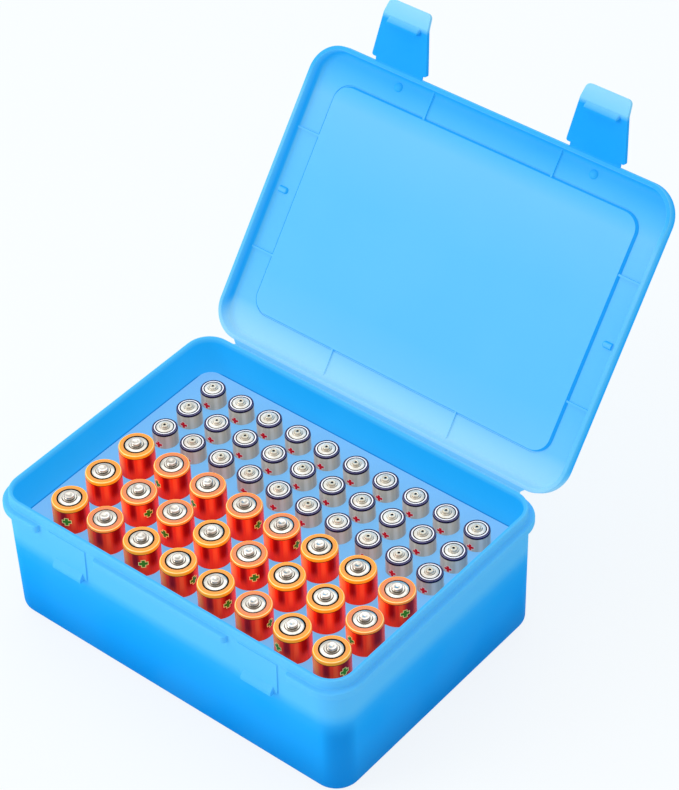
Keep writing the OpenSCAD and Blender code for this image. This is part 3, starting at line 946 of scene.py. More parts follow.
@dataclass
class Tub:
    """The deep tub with its flange, lip and two catches."""

    outline: Outline
    finish: Material
    flange_t: float = 3.2
    flange_round: float = 0.7
    wall_inset: float = 2.3
    wall_t: float = 2.1
    draft: float = 0.8
    foot_r: float = 3.0
    floor_t: float = 2.5
    inner_foot_r: float = 0.9
    lip_h: float = 4.3
    lip_t: float = 1.8
    lip_round: float = 0.55
    lip_fillet: float = 0.6
    gap_w: float = 29.0
    gap_end_r: float = 2.0
    pad_w: float = 19.0
    pad_taper: float = 0.6
    pad_t: float = 0.4
    pad_low: float = 40.55
    catch_w: float = 14.4
    catch_low: float = 39.3
    catch_h: float = 4.2
    catch_flat: float = 1.9
    catch_soft: float = 0.6
    over: float = 1.0
    sides: int = 48
    soft: float = 0.28

    def build(self) -> bpy.types.Object:
        """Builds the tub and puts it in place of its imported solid."""
        tub = self._shell()
        for side in (-1, 1):
            tub.combine([self._gap(side)], "DIFFERENCE")
        for side in (-1, 1):
            tub.combine([self._pad(side), self._catch(side)], "UNION")
        tub.ease(self.soft).dress(self.finish)
        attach(tub.obj, Body.BASE.value)
        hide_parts("case_base")
        return tub.obj

    def _shell(self) -> Workpiece:
        """Shapes the walls, floor, flange and lip by steps from the flange's band."""
        rim = self.outline.rim_z
        low, high = rim - self.flange_t + self.flange_round, rim - self.flange_round
        tub = self.outline.prism("tub", low, high)
        inner = self.wall_inset + self.wall_t
        lip_outer = inner - self.lip_t
        lip_flat = self.lip_t - 2 * self.lip_round
        depth = rim - self.floor_t - self.inner_foot_r
        tub.walk_from(UP, [
            *round_over(self.flange_round), Step(lip_outer - self.flange_round - self.lip_fillet, 0),
            *hollow_up(self.lip_fillet), Step(0, self.lip_h - self.lip_round - self.lip_fillet),
            *round_over(self.lip_round), Step(lip_flat, 0), *round_under(self.lip_round),
            Step(0, self.lip_round - self.lip_h), Step(self.draft, -depth),
            *fillet_down(self.inner_foot_r)])
        tub.pick_faces(lambda at, way: way.z < -ALONG and at.z > rim - self.flange_t).walk(DOWN, [
            *round_over(self.flange_round), Step(self.wall_inset - self.flange_round, 0),
            Step(self.draft, rim - self.flange_t - self.foot_r), *round_over(self.foot_r, 8)])
        return tub.done()

    def _gap(self, side: int) -> Workpiece:
        """Cuts the flange away at one latch, and leaves its ends round."""
        x, front = side * self.outline.latch_x, -self.outline.half_d
        low, high = self.outline.rim_z - self.flange_t - self.over, self.outline.rim_z + self.over
        half = self.gap_w / 2 + self.gap_end_r
        gap = Workpiece.block("gap", (x - half, front - self.over, low),
                              (x + half, front + self.wall_inset, high))
        under, past, round_y = low - self.over, high + self.over, front + self.gap_end_r
        ends, inner = [], []
        for way in (-1, 1):
            ends.append(Workpiece.rod("end", self.gap_end_r, (x + way * half, round_y, under),
                                      past - under, self.sides))
            near, far = sorted((x + way * self.gap_w / 2, x + way * (half + self.over)))
            inner.append(Workpiece.block("inner", (near, round_y, under),
                                         (far, front + self.wall_inset + self.over, past)))
        return gap.combine([*ends, *inner], "DIFFERENCE")

    def _pad(self, side: int) -> Workpiece:
        """Makes the flat pad behind a closed latch."""
        x, wall = side * self.outline.latch_x, self.outline.half_d - self.wall_inset
        pad = Workpiece.block("pad", (x - self.pad_w / 2, -wall - self.pad_t, self.pad_low),
                              (x + self.pad_w / 2, -wall + self.draft, self.outline.rim_z))
        pad.pick_faces(looks(DOWN)).stretch((1 - 2 * self.pad_taper / self.pad_w, 1, 1), (x, 0, 0))
        return pad.done()

    def _catch(self, side: int) -> Workpiece:
        """Makes the bar that the hook snaps over, with its sloping top."""
        x, wall = side * self.outline.latch_x, self.outline.half_d - self.wall_inset
        nose = -self.outline.half_d
        bar = Workpiece.block("catch", (x - self.catch_w / 2, nose, self.catch_low),
                              (x + self.catch_w / 2, -wall + self.draft, self.catch_low + self.catch_flat))
        slope = -wall - self.pad_t - nose
        bar.pick_faces(looks(UP)).pull((0, 0, self.catch_h - self.catch_flat))
        near, low, top = nose + SLACK, self.catch_low + SLACK, self.catch_low + self.catch_h - SLACK
        bar.pick_edges(lambda at, way: abs(way.x) > ALONG and at.y < near and at.z > top)
        bar.shift((0, slope, 0))
        bar.pick_edges(lambda at, way: abs(way.x) > ALONG and at.y < near and at.z < low)
        bar.round_edges(self.catch_soft, 3)
        return bar.done()


@dataclass
class Lid:
    """The shallow lid with its panel, ribs, pegs and bosses, drawn closed and then opened."""

    outline: Outline
    finish: Material
    matrix: Matrix
    foot: float = 0.15
    foot_round: float = 0.4
    height: float = 6.9
    plate_t: float = 1.7
    skirt_t: float = 1.7
    skirt_draft: float = 0.4
    edge_r: float = 3.0
    fillet_r: float = 2.2
    panel_half_w: float = 73.6
    panel_half_d: float = 49.3
    panel_r: float = 8.0
    panel_slope: float = 0.6
    panel_step: float = 1.3
    panel_extra_r: float = 1.0
    groove_w: float = 0.45
    groove_d: float = 0.55
    groove_lean: float = 0.04
    rib_t: float = 0.8
    rib_h: float = 0.8
    rib_x: float = 31.2
    rib_y: float = 26.2
    peg_r: float = 1.4
    peg_len: float = 4.2
    peg_end: float = 82.6
    peg_soft: float = 1.2
    boss_r: float = 1.9
    boss_h: float = 1.1
    boss_inset: float = 6.6
    dome_share: float = 0.96
    sides: int = 32
    soft: float = 0.22

    def build(self) -> bpy.types.Object:
        """Builds the lid, opens it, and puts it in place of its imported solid."""
        lid = self._shell()
        lid.combine([*self._ribs(), *self._pegs(), *self._bosses()], "UNION")
        lid.ease(self.soft).place(self.matrix).dress(self.finish)
        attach(lid.obj, Body.LID.value)
        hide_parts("lid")
        return lid.obj

    @property
    def middle_y(self) -> float:
        """Middle of the closed lid, in its own frame."""
        return -self.outline.hinge_y

    @property
    def plate_low(self) -> float:
        """Underside of the plate, in the lid's frame."""
        return self.foot + self.height - self.plate_t

    def _shell(self) -> Workpiece:
        """Shapes the skirt, the plate and the panel by steps from the skirt's band."""
        top = self.foot + self.height
        lid = self.outline.prism("lid_shell", self.foot + self.foot_round, top - self.edge_r, self.middle_y)
        lid.walk_from(UP, round_over(self.edge_r, 8))
        self._panel(lid, UP, self.edge_r, [Step(self.panel_slope, -self.panel_step)])
        rise = self.plate_low - self.fillet_r - self.foot
        lid.pick_faces(lambda at, way: way.z < -ALONG and at.z < self.foot + 1).walk(DOWN, [
            *round_over(self.foot_round), Step(self.skirt_t - 2 * self.foot_round, 0),
            *round_under(self.foot_round), Step(self.skirt_draft, self.foot_round - rise),
            *fillet_down(self.fillet_r)])
        self._panel(lid, DOWN, self.skirt_t + self.skirt_draft + self.fillet_r, [
            Step(self.groove_lean, -self.groove_d), Step(self.groove_w - self.groove_lean, 0),
            Step(self.panel_slope, self.groove_d + self.panel_step)])
        return lid.done()

    def _panel(self, lid: Workpiece, facing: Vector, inset: float, steps: list[Step]) -> None:
        """Steps the picked flat face in to the panel, whose margins differ along X and Y.

        Args:
            lid: The lid, with the flat face picked.
            facing: Normal of that face.
            inset: How far the face's outline already is from the lid's.
            steps: The steps of the panel's slope.
        """
        shape_r = self.panel_r + self.panel_extra_r
        grow = self.panel_slope + self.groove_w if facing.z < 0 else 0.0
        lid.walk(facing, [Step(self.outline.corner_r - inset - shape_r, 0)])
        now_w = self.outline.half_w - self.outline.corner_r + shape_r
        now_d = self.outline.half_d - self.outline.corner_r + shape_r
        factors = ((self.panel_half_w + grow) / now_w, (self.panel_half_d + grow) / now_d, 1)
        lid.pull((0, 0, 0)).stretch(factors, (0, self.middle_y, 0))
        lid.walk(facing, steps)

    def _ribs(self) -> list[Workpiece]:
        """Makes the eight short ribs between the skirt and the panel."""
        low, high = self.plate_low - self.rib_h, self.plate_low + self.plate_t / 2
        skirt, half_t = self.skirt_t / 2, self.rib_t / 2
        half_w, half_d = self.outline.half_w - skirt, self.outline.half_d - skirt
        ribs = []
        for side in (-1, 1):
            for place in (-1, 1):
                near, far = sorted((side * half_w, side * self.panel_half_w))
                y = self.middle_y + place * self.rib_y
                ribs.append(Workpiece.block("rib", (near, y - half_t, low), (far, y + half_t, high)))
                near, far = sorted(self.middle_y + side * reach for reach in (half_d, self.panel_half_d))
                x = place * self.rib_x
                ribs.append(Workpiece.block("rib", (x - half_t, near, low), (x + half_t, far, high)))
        return ribs

    def _pegs(self) -> list[Workpiece]:
        """Makes the half round peg at the middle of each short side."""
        pegs = []
        for side in (-1, 1):
            length, inwards = self.peg_len - self.peg_soft, Vector((-side, 0, 0))
            start = min(side * self.peg_end, side * (self.peg_end - length))
            peg = Workpiece.rod("peg", self.peg_r, (start, self.middle_y, self.plate_low), length,
                                self.sides, "X")
            pegs.append(peg.walk_from(inwards, round_over(self.peg_soft, 5)).done())
        return pegs

    def _bosses(self) -> list[Workpiece]:
        """Makes the low round boss behind each latch."""
        y = self.middle_y - self.outline.half_d + self.boss_inset
        wide = self.dome_share * self.boss_r / self.boss_h
        dome = [Step(step.shrink * wide, step.rise) for step in round_over(self.boss_h, 8)]
        return [Workpiece.rod("boss", self.boss_r, (side * self.outline.latch_x, y, self.plate_low),
                              self.plate_t / 2, self.sides).walk_from(DOWN, dome).done()
                for side in (-1, 1)]


@dataclass
class Latch:
    """A hook latch, drawn along -Y from its turning line and then put on the open lid."""

    side: int
    outline: Outline
    finish: Material
    matrix: Matrix
    start: float = 1.3
    length: float = 20.1
    thickness: float = 1.6
    width: float = 27.5
    bend_w: float = 22.0
    tip_w: float = 20.1
    tip_r: float = 1.8
    foot_r: float = 1.0
    tab_len: float = 5.9
    tab_tilt: float = 22.0
    bend_r: float = 0.8
    hook_w: float = 15.6
    hook_from: float = 17.3
    hook_len: float = 2.9
    hook_d: float = 2.0
    hook_soft: float = 0.7
    soft: float = 0.25

    @property
    def body(self) -> Body:
        """The body of this latch."""
        return Body.LATCH_LEFT if self.side < 0 else Body.LATCH_RIGHT

    def build(self) -> bpy.types.Object:
        """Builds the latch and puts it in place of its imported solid."""
        latch = self._plate()
        latch.combine([self._hook()], "UNION")
        latch.ease(self.soft).place(self.matrix).dress(self.finish)
        latch.obj.name = f"{self.body.value}_form"
        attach(latch.obj, self.body.value)
        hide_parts(self.body.value)
        return latch.obj

    def _plate(self) -> Workpiece:
        """Shapes the tapered plate, the bend and the finger tab."""
        half, t = self.width / 2, self.thickness
        plate = Workpiece.block("latch", (-half, -self.length, 0), (half, -self.start, t))
        plate.pick_faces(looks(FRONT))
        plate.stretch((self.bend_w / self.width, 1, 1), (0, -self.length, 0))
        plate.spin((0, -self.length, t + self.bend_r), -self.tab_tilt, 4)
        tilt = math.radians(self.tab_tilt)
        plate.pull((0, -self.tab_len * math.cos(tilt), self.tab_len * math.sin(tilt)))
        plate.stretch((self.tip_w / self.bend_w, 1, 1), (0, 0, 0))
        bend_z = (t + self.bend_r) * (1 - math.cos(tilt))
        near_tip = 0.5 - self.length - self.tab_len * math.cos(tilt)
        plate.pick_edges(lambda at, way: abs(way.x) < ACROSS and at.y < near_tip and at.z > bend_z + 1)
        plate.round_edges(self.tip_r, 6)
        plate.pick_edges(lambda at, way: abs(way.z) > ALONG and at.y > -self.start - SLACK)
        plate.round_edges(self.foot_r, 4)
        return plate.done()

    def _hook(self) -> Workpiece:
        """Shapes the hook bar: upright towards the turning line, sloping towards the tab."""
        half, flat = self.hook_w / 2, self.hook_len / 2
        hook = Workpiece.block("hook", (-half, -self.hook_from - flat, -self.hook_d),
                               (half, -self.hook_from, self.thickness / 2))
        hook.pick_faces(looks(FRONT)).pull((0, -flat, 0))
        far, low = SLACK - self.hook_from - self.hook_len, SLACK - self.hook_d
        hook.pick_edges(lambda at, way: abs(way.x) > ALONG and at.y < far and at.z < low)
        hook.shift((0, 0, self.hook_d))
        end, upright, below = half - SLACK, SLACK - self.hook_from, -3 * SLACK
        hook.pick_edges(lambda at, _: at.z < below and (abs(at.x) > end or at.y > upright))
        hook.round_edges(self.hook_soft, 4)
        return hook.done()


@dataclass
class Webs:
    """The thin living hinges: one between tub and lid, and one between the lid and each latch."""

    outline: Outline
    finish: Material
    latch_finish: Material
    lid_matrix: Matrix
    lid_open: float
    latch_drop: float
    latch_turn_y: float
    thickness: float = 0.72
    gap: float = 0.18
    half_w: float = 72.3
    latch_half_w: float = 11.8
    flare: float = 2.2
    into_tub: float = 2.2
    into_lid: float = 2.1
    into_latch: float = 1.8
    into_skirt: float = 1.2
    count: int = 8
    soft: float = 0.12

    def build(self) -> list[bpy.types.Object]:
        """Builds all three webs."""
        made = [self._lid_web()]
        for side, body in ((-1, Body.LATCH_LEFT), (1, Body.LATCH_RIGHT)):
            made.append(self._latch_web(side, body))
        return made

    def _strip(self, name: str, half_w: float, near: float, far: float, bend: float,
               flare: float) -> Workpiece:
        """Makes a web about a turning line at the origin, from +Y round below it to the far side.

        Args:
            name: Name of the piece.
            half_w: Half of its width.
            near: Length of the straight end on the -Y side, from beside the turning line.
            far: Length of the straight end past the bend.
            bend: Angle of its bend, in degrees.
            flare: How much wider it is at its ends, on each side.

        Returns:
            The strip.
        """
        low, high = -self.gap - self.thickness, -self.gap
        strip = Workpiece.block(name, (-half_w, -near, low), (half_w, 0, high))
        wider = (1 + flare / half_w, 1, 1)
        strip.pick_faces(looks(FRONT)).stretch(wider, (0, 0, 0))
        strip.pick_faces(looks(BACK)).spin((0, 0, 0), bend, self.count)
        turn = math.radians(abs(bend))
        strip.pull((0, far * math.cos(turn), far * math.sin(turn))).stretch(wider, (0, 0, 0))
        return strip.done()

    def _lid_web(self) -> bpy.types.Object:
        """The web along the back, bent to the angle at which the lid stands open."""
        line = self.outline
        web = self._strip("hinge_web", self.half_w, self.into_tub, self.into_lid, 180 - self.lid_open,
                          self.flare)
        place = Matrix.Translation(Vector((0, line.hinge_y, line.hinge_z)) * MM)
        web.ease(self.soft, 1).place(place).dress(self.finish)
        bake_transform(web.obj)
        return web.obj

    def _latch_web(self, side: int, body: Body) -> bpy.types.Object:
        """The web of one latch, drawn upside down against the lid's web and then turned over."""
        web = self._strip(f"{body.value}_web", self.latch_half_w, self.into_skirt, self.into_latch,
                          self.latch_drop, 0.0)
        flip = Matrix.Rotation(math.pi, 4, "X")
        turning = Matrix.Translation(Vector((side * self.outline.latch_x, self.latch_turn_y, 0)) * MM)
        matrix = self.lid_matrix @ turning @ flip
        web.ease(self.soft, 1).place(matrix).dress(self.latch_finish)
        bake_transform(web.obj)
        return web.obj


class CellFinish(Enum):
    """Material slots of a cell, from its sleeve to the middle of its top."""

    SLEEVE = 0
    CREASE = 1
    SHOULDER = 2
    # A painted highlight on the shoulder's round
    RIM = 3
    RING = 4
    SEAL = 5
    CAP = 6
    # Painted shade: dark rings on the cap's step walls and round the contact
    EDGE = 7
    CONTACT = 8


@dataclass(frozen=True)
class Band:
    """One band of a cell's top: the steps that make it, and its finish."""

    finish: CellFinish
    steps: list[Step]


@dataclass
class CellKind:
    """One size of cell, modelled once at the origin and copied to every node of its size.

    Attributes:
        prefix: How its nodes' names start.
        slot: Its material slot; not used.
        materials: A finish for each member of CellFinish.
        contact_h: Height of its contact above the top of the can.
        shoulder_drop: How far the shoulder's band comes down the side, in millimetres.
        ring_share: Where the ring inside the shoulder starts, as a share of the radius.
        dimple_r: Radius of the dimple in the contact.
        seal_share: Where the dark seal starts, as a share of the radius.
        cap_share: Where the metal cap starts, as a share of the radius.
        turns: Direction of the printed mark on each cell, in degrees from the front towards +X.
        chosen: Numbers of the cells to build, counted from 0, or nothing for all.
        dimple: Finish of the dimple.
    """

    prefix: str
    slot: Slot
    materials: dict[CellFinish, Material]
    contact_h: float
    shoulder_drop: float
    ring_share: float
    dimple_r: float
    seal_share: float
    cap_share: float
    turns: tuple[float, ...]
    chosen: frozenset[int] = frozenset()
    dimple: CellFinish = CellFinish.CAP
    sides: int = 48
    shoulder_r: float = 0.7
    step_share: float = 0.42
    contact_share: float = 0.3
    seal_depth: float = 0.4
    crease_h: float = 0.25
    cap_rise: float = 0.15
    edge: float = 0.3

    def build(self) -> list[bpy.types.Object]:
        """Builds the pattern cell and a copy for each node of this size."""
        names = sorted(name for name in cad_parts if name.startswith(self.prefix))
        low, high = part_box(names[0])
        radius, length = (high.x - low.x) / 2 / MM, (high.z - low.z) / MM
        pattern = self._pattern(radius, length)
        made = []
        for index, name in enumerate(names):
            if self.chosen and index not in self.chosen:
                continue
            low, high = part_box(name)
            turn = self.turns[index % len(self.turns)] - 90
            copy = bpy.data.objects.new(f"{name}_form", pattern.data.copy())
            bpy.context.scene.collection.objects.link(copy)
            place = Matrix.Translation(((low.x + high.x) / 2, (low.y + high.y) / 2, low.z))
            copy.data.transform(place @ Matrix.Rotation(math.radians(turn), 4, "Z"))
            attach(copy, Body.BASE.value)
            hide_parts(name)
            made.append(copy)
        bpy.data.objects.remove(pattern)
        return made

    def _pattern(self, radius: float, length: float) -> bpy.types.Object:
        """Shapes one cell by steps from a cylinder, standing at the origin.

        Args:
            radius: Radius of the can.
            length: Length over the contact.

        Returns:
            The pattern's object.
        """
        side_top = length - self.contact_h - self.shoulder_drop
        cell = Workpiece.rod(f"{self.prefix}pattern", radius, (0, 0, self.edge), side_top - self.edge,
                             self.sides)
        for finish in CellFinish:
            cell.obj.data.materials.append(self.materials[finish])
        cell.pick_faces(looks(UP))
        for band in self._bands(radius):
            cell.paint(band.finish.value).walk(UP, band.steps)
        cell.walk_from(DOWN, round_over(self.edge, 3)).done()
        self._coordinates(cell.obj, radius, length)
        cell.activate()
        bpy.ops.object.shade_smooth_by_angle(angle=math.radians(SHARP))
        return cell.obj

    def _bands(self, radius: float) -> list[Band]:
        """The bands from the sleeve's upper edge over the shoulder to the middle of the contact."""
        ring_r, seal_r, cap_r, step_r, contact_r = (
            share * radius for share in (self.ring_share, self.seal_share, self.cap_share,
                                         self.step_share, self.contact_share))
        lean, dish = 0.03, 0.02
        flat_r = radius - self.shoulder_r - 2 * lean
        side = self.shoulder_drop - self.crease_h - self.shoulder_r
        tip_h = self.contact_h - self.cap_rise - self.edge
        bend = round_over(self.shoulder_r, 6)
        return [
            Band(CellFinish.CREASE, [Step(lean, self.crease_h)]),
            Band(CellFinish.SHOULDER, [Step(lean, side), *bend[:3]]),
            # A painted highlight on the shoulder's round
            Band(CellFinish.RIM, bend[3:5]),
            Band(CellFinish.SHOULDER, [bend[5], Step(flat_r - ring_r, -dish)]),
            Band(CellFinish.RING, [Step(ring_r - seal_r, dish)]),
            Band(CellFinish.SEAL, [Step(lean, -self.seal_depth), Step(seal_r - cap_r - 2 * lean, 0),
                                   Step(lean, self.seal_depth)]),
            Band(CellFinish.CAP, [Step(self.edge, self.cap_rise), Step(cap_r - self.edge - step_r, 0)]),
            # Painted shade on the cap's step wall
            Band(CellFinish.EDGE, [Step(self.edge, self.edge)]),
            Band(CellFinish.CAP, [Step(step_r - self.edge - contact_r, 0)]),
            # Painted shade round the contact's side
            Band(CellFinish.EDGE, [Step(lean, 0.3 * tip_h)]),
            Band(CellFinish.CONTACT, [Step(lean, 0.7 * tip_h - self.edge), *round_over(self.edge, 3),
                                      Step(contact_r - 2 * lean - self.edge - self.dimple_r, 0)]),
            Band(self.dimple, [Step(self.dimple_r / 2, -self.dimple_r / 3)])]

    @staticmethod
    def _coordinates(obj: bpy.types.Object, radius: float, length: float) -> None:
        """Adds two maps: one wrapped round the cell, and one seen from above.

        Args:
            obj: The pattern cell.
            radius: Its radius.
            length: Its length.
        """
        mesh = obj.data
        while mesh.uv_layers:
            mesh.uv_layers.remove(mesh.uv_layers[0])
        wrap, plan = mesh.uv_layers.new(name="wrap"), mesh.uv_layers.new(name="plan")
        for face in mesh.polygons:
            middle = math.atan2(face.center.y, face.center.x)
            for loop in face.loop_indices:
                at = mesh.vertices[mesh.loops[loop].vertex_index].co / MM
                angle = math.atan2(at.y, at.x)
                angle += 2 * math.pi * round((middle - angle) / (2 * math.pi))
                wrap.data[loop].uv = (angle / (2 * math.pi) + 0.5, at.z / length)
                plan.data[loop].uv = (at.x / radius / 2 + 0.5, at.y / radius / 2 + 0.5)


# Studio


@dataclass
class Studio:
    """Camera, lamps, floor and world.

    Attributes:
        azimuth: Direction of the camera, in degrees from the front towards +X.
        elevation: Its height above the horizon, in degrees.
        roll: Turn about its own line of sight, in degrees.
        distance: Distance from the target, in millimetres.
        aside: How far it is moved to its right, in millimetres.
        above: How far it is moved up, in millimetres.
        focal: Focal length for a sensor of 36 mm on the long side.
        target: Point that it is aimed at before those moves, in millimetres.
        lamp_target: Point that the lamps face, in millimetres.
        fill: Colour and strength of the light from all round.
        floor_glow: Strength of the light that the floor gives off where it is seen.
    """

    azimuth: float = 40.83
    elevation: float = 41.43
    roll: float = -2.31
    distance: float = 1113.77
    aside: float = 27.39
    above: float = 54.44
    focal: float = 131.05
    target: Point = (0, 0, 40)
    lamp_target: Point = (0, 0, 60)
    fill: tuple[Colour, float] = ((0.93, 0.97, 1.0), 0.78)
    floor_glow: float = 0.86

    def build(self) -> None:
        """Builds the whole studio."""
        self._camera()
        self._world()
        self._floor()
        self._lamp("key", (-650, -880, 600), 600, 5.2)
        self._lamp("top", (-350, 350, 1100), 900, 2.5)

    def _camera(self) -> None:
        """Places the camera at the photograph's viewing angle."""
        az, el, roll = (math.radians(angle) for angle in (self.azimuth, self.elevation, self.roll))
        back = Vector((math.sin(az) * math.cos(el), -math.cos(az) * math.cos(el), math.sin(el)))
        level = Vector((math.cos(az), math.sin(az), 0))
        upright = back.cross(level)
        right = math.cos(roll) * level + math.sin(roll) * upright
        above = -math.sin(roll) * level + math.cos(roll) * upright
        place = Vector(self.target) + self.aside * right + self.above * above + self.distance * back
        data = bpy.data.cameras.new("camera")
        data.lens = self.focal
        data.sensor_width = 36
        data.clip_start, data.clip_end = 0.05, 20
        camera = bpy.data.objects.new("camera", data)
        bpy.context.scene.collection.objects.link(camera)
        turn = Matrix((right, above, back)).transposed().to_4x4()
        camera.matrix_world = Matrix.Translation(place * MM) @ turn
        bpy.context.scene.camera = camera

    @staticmethod
    def _seen_directly(wiring: Wiring) -> Socket:
        """A mask that is 1 on rays that show the background: seen, mirrored or let through."""
        path = wiring.node("ShaderNodeLightPath")
        mirrored = wiring.math("ADD", path.outputs["Is Glossy Ray"], path.outputs["Is Transmission Ray"])
        return wiring.math("ADD", path.outputs["Is Camera Ray"], mirrored, clamp=True)

    def _world(self) -> None:
        """A white background, and a softer light from all round."""
        world = bpy.data.worlds.new("studio")
        world.use_nodes = True
        bpy.context.scene.world = world
        wiring = Wiring(world.node_tree)
        fill = wiring.node("ShaderNodeBackground", Color=self.fill[0], Strength=self.fill[1])
        white = wiring.node("ShaderNodeBackground", Color=tint(250, 254, 255), Strength=1.0)
        both = wiring.in_order(wiring.node("ShaderNodeMixShader"), self._seen_directly(wiring),
                               fill.outputs[0], white.outputs[0])
        wiring.node("ShaderNodeOutputWorld", Surface=both.outputs[0])

    def _floor(self) -> None:
        """A pale floor that keeps a light shadow of the case."""
        bpy.ops.object.select_all(action="DESELECT")
        bpy.ops.mesh.primitive_plane_add(size=12, location=(0, 0, 0))
        floor = bpy.context.active_object
        floor.name = "floor"
        material = bpy.data.materials.new("floor_pale")
        material.use_nodes = True
        wiring = Wiring(material.node_tree)
        pale = wiring.node("ShaderNodeBsdfDiffuse", Color=tint(240, 244, 246))
        shade = wiring.node("ShaderNodeBsdfDiffuse", Color=tint(102, 105, 106))
        glow = wiring.node("ShaderNodeEmission", Color=tint(250, 253, 255), Strength=self.floor_glow)
        both = wiring.in_order(wiring.node("ShaderNodeAddShader"), shade.outputs[0], glow.outputs[0])
        shown = wiring.in_order(wiring.node("ShaderNodeMixShader"), self._seen_directly(wiring),
                                pale.outputs[0], both.outputs[0])
        wiring.node("ShaderNodeOutputMaterial", Surface=shown.outputs[0])
        floor.data.materials.append(material)

    def _lamp(self, name: str, place: Point, size: float, power: float) -> None:
        """Adds a square soft lamp that faces the case.

        Args:
            name: Name of the lamp.
            place: Where it hangs, in millimetres.
            size: Its side, in millimetres.
            power: Its power, in watts.
        """
        data = bpy.data.lights.new(name, "AREA")
        data.shape = "SQUARE"
        data.size = size * MM
        data.energy = power
        lamp = bpy.data.objects.new(name, data)
        bpy.context.scene.collection.objects.link(lamp)
        lamp.location = Vector(place) * MM
        towards = Vector(self.lamp_target) - Vector(place)
        lamp.rotation_euler = towards.to_track_quat("-Z", "Y").to_euler()


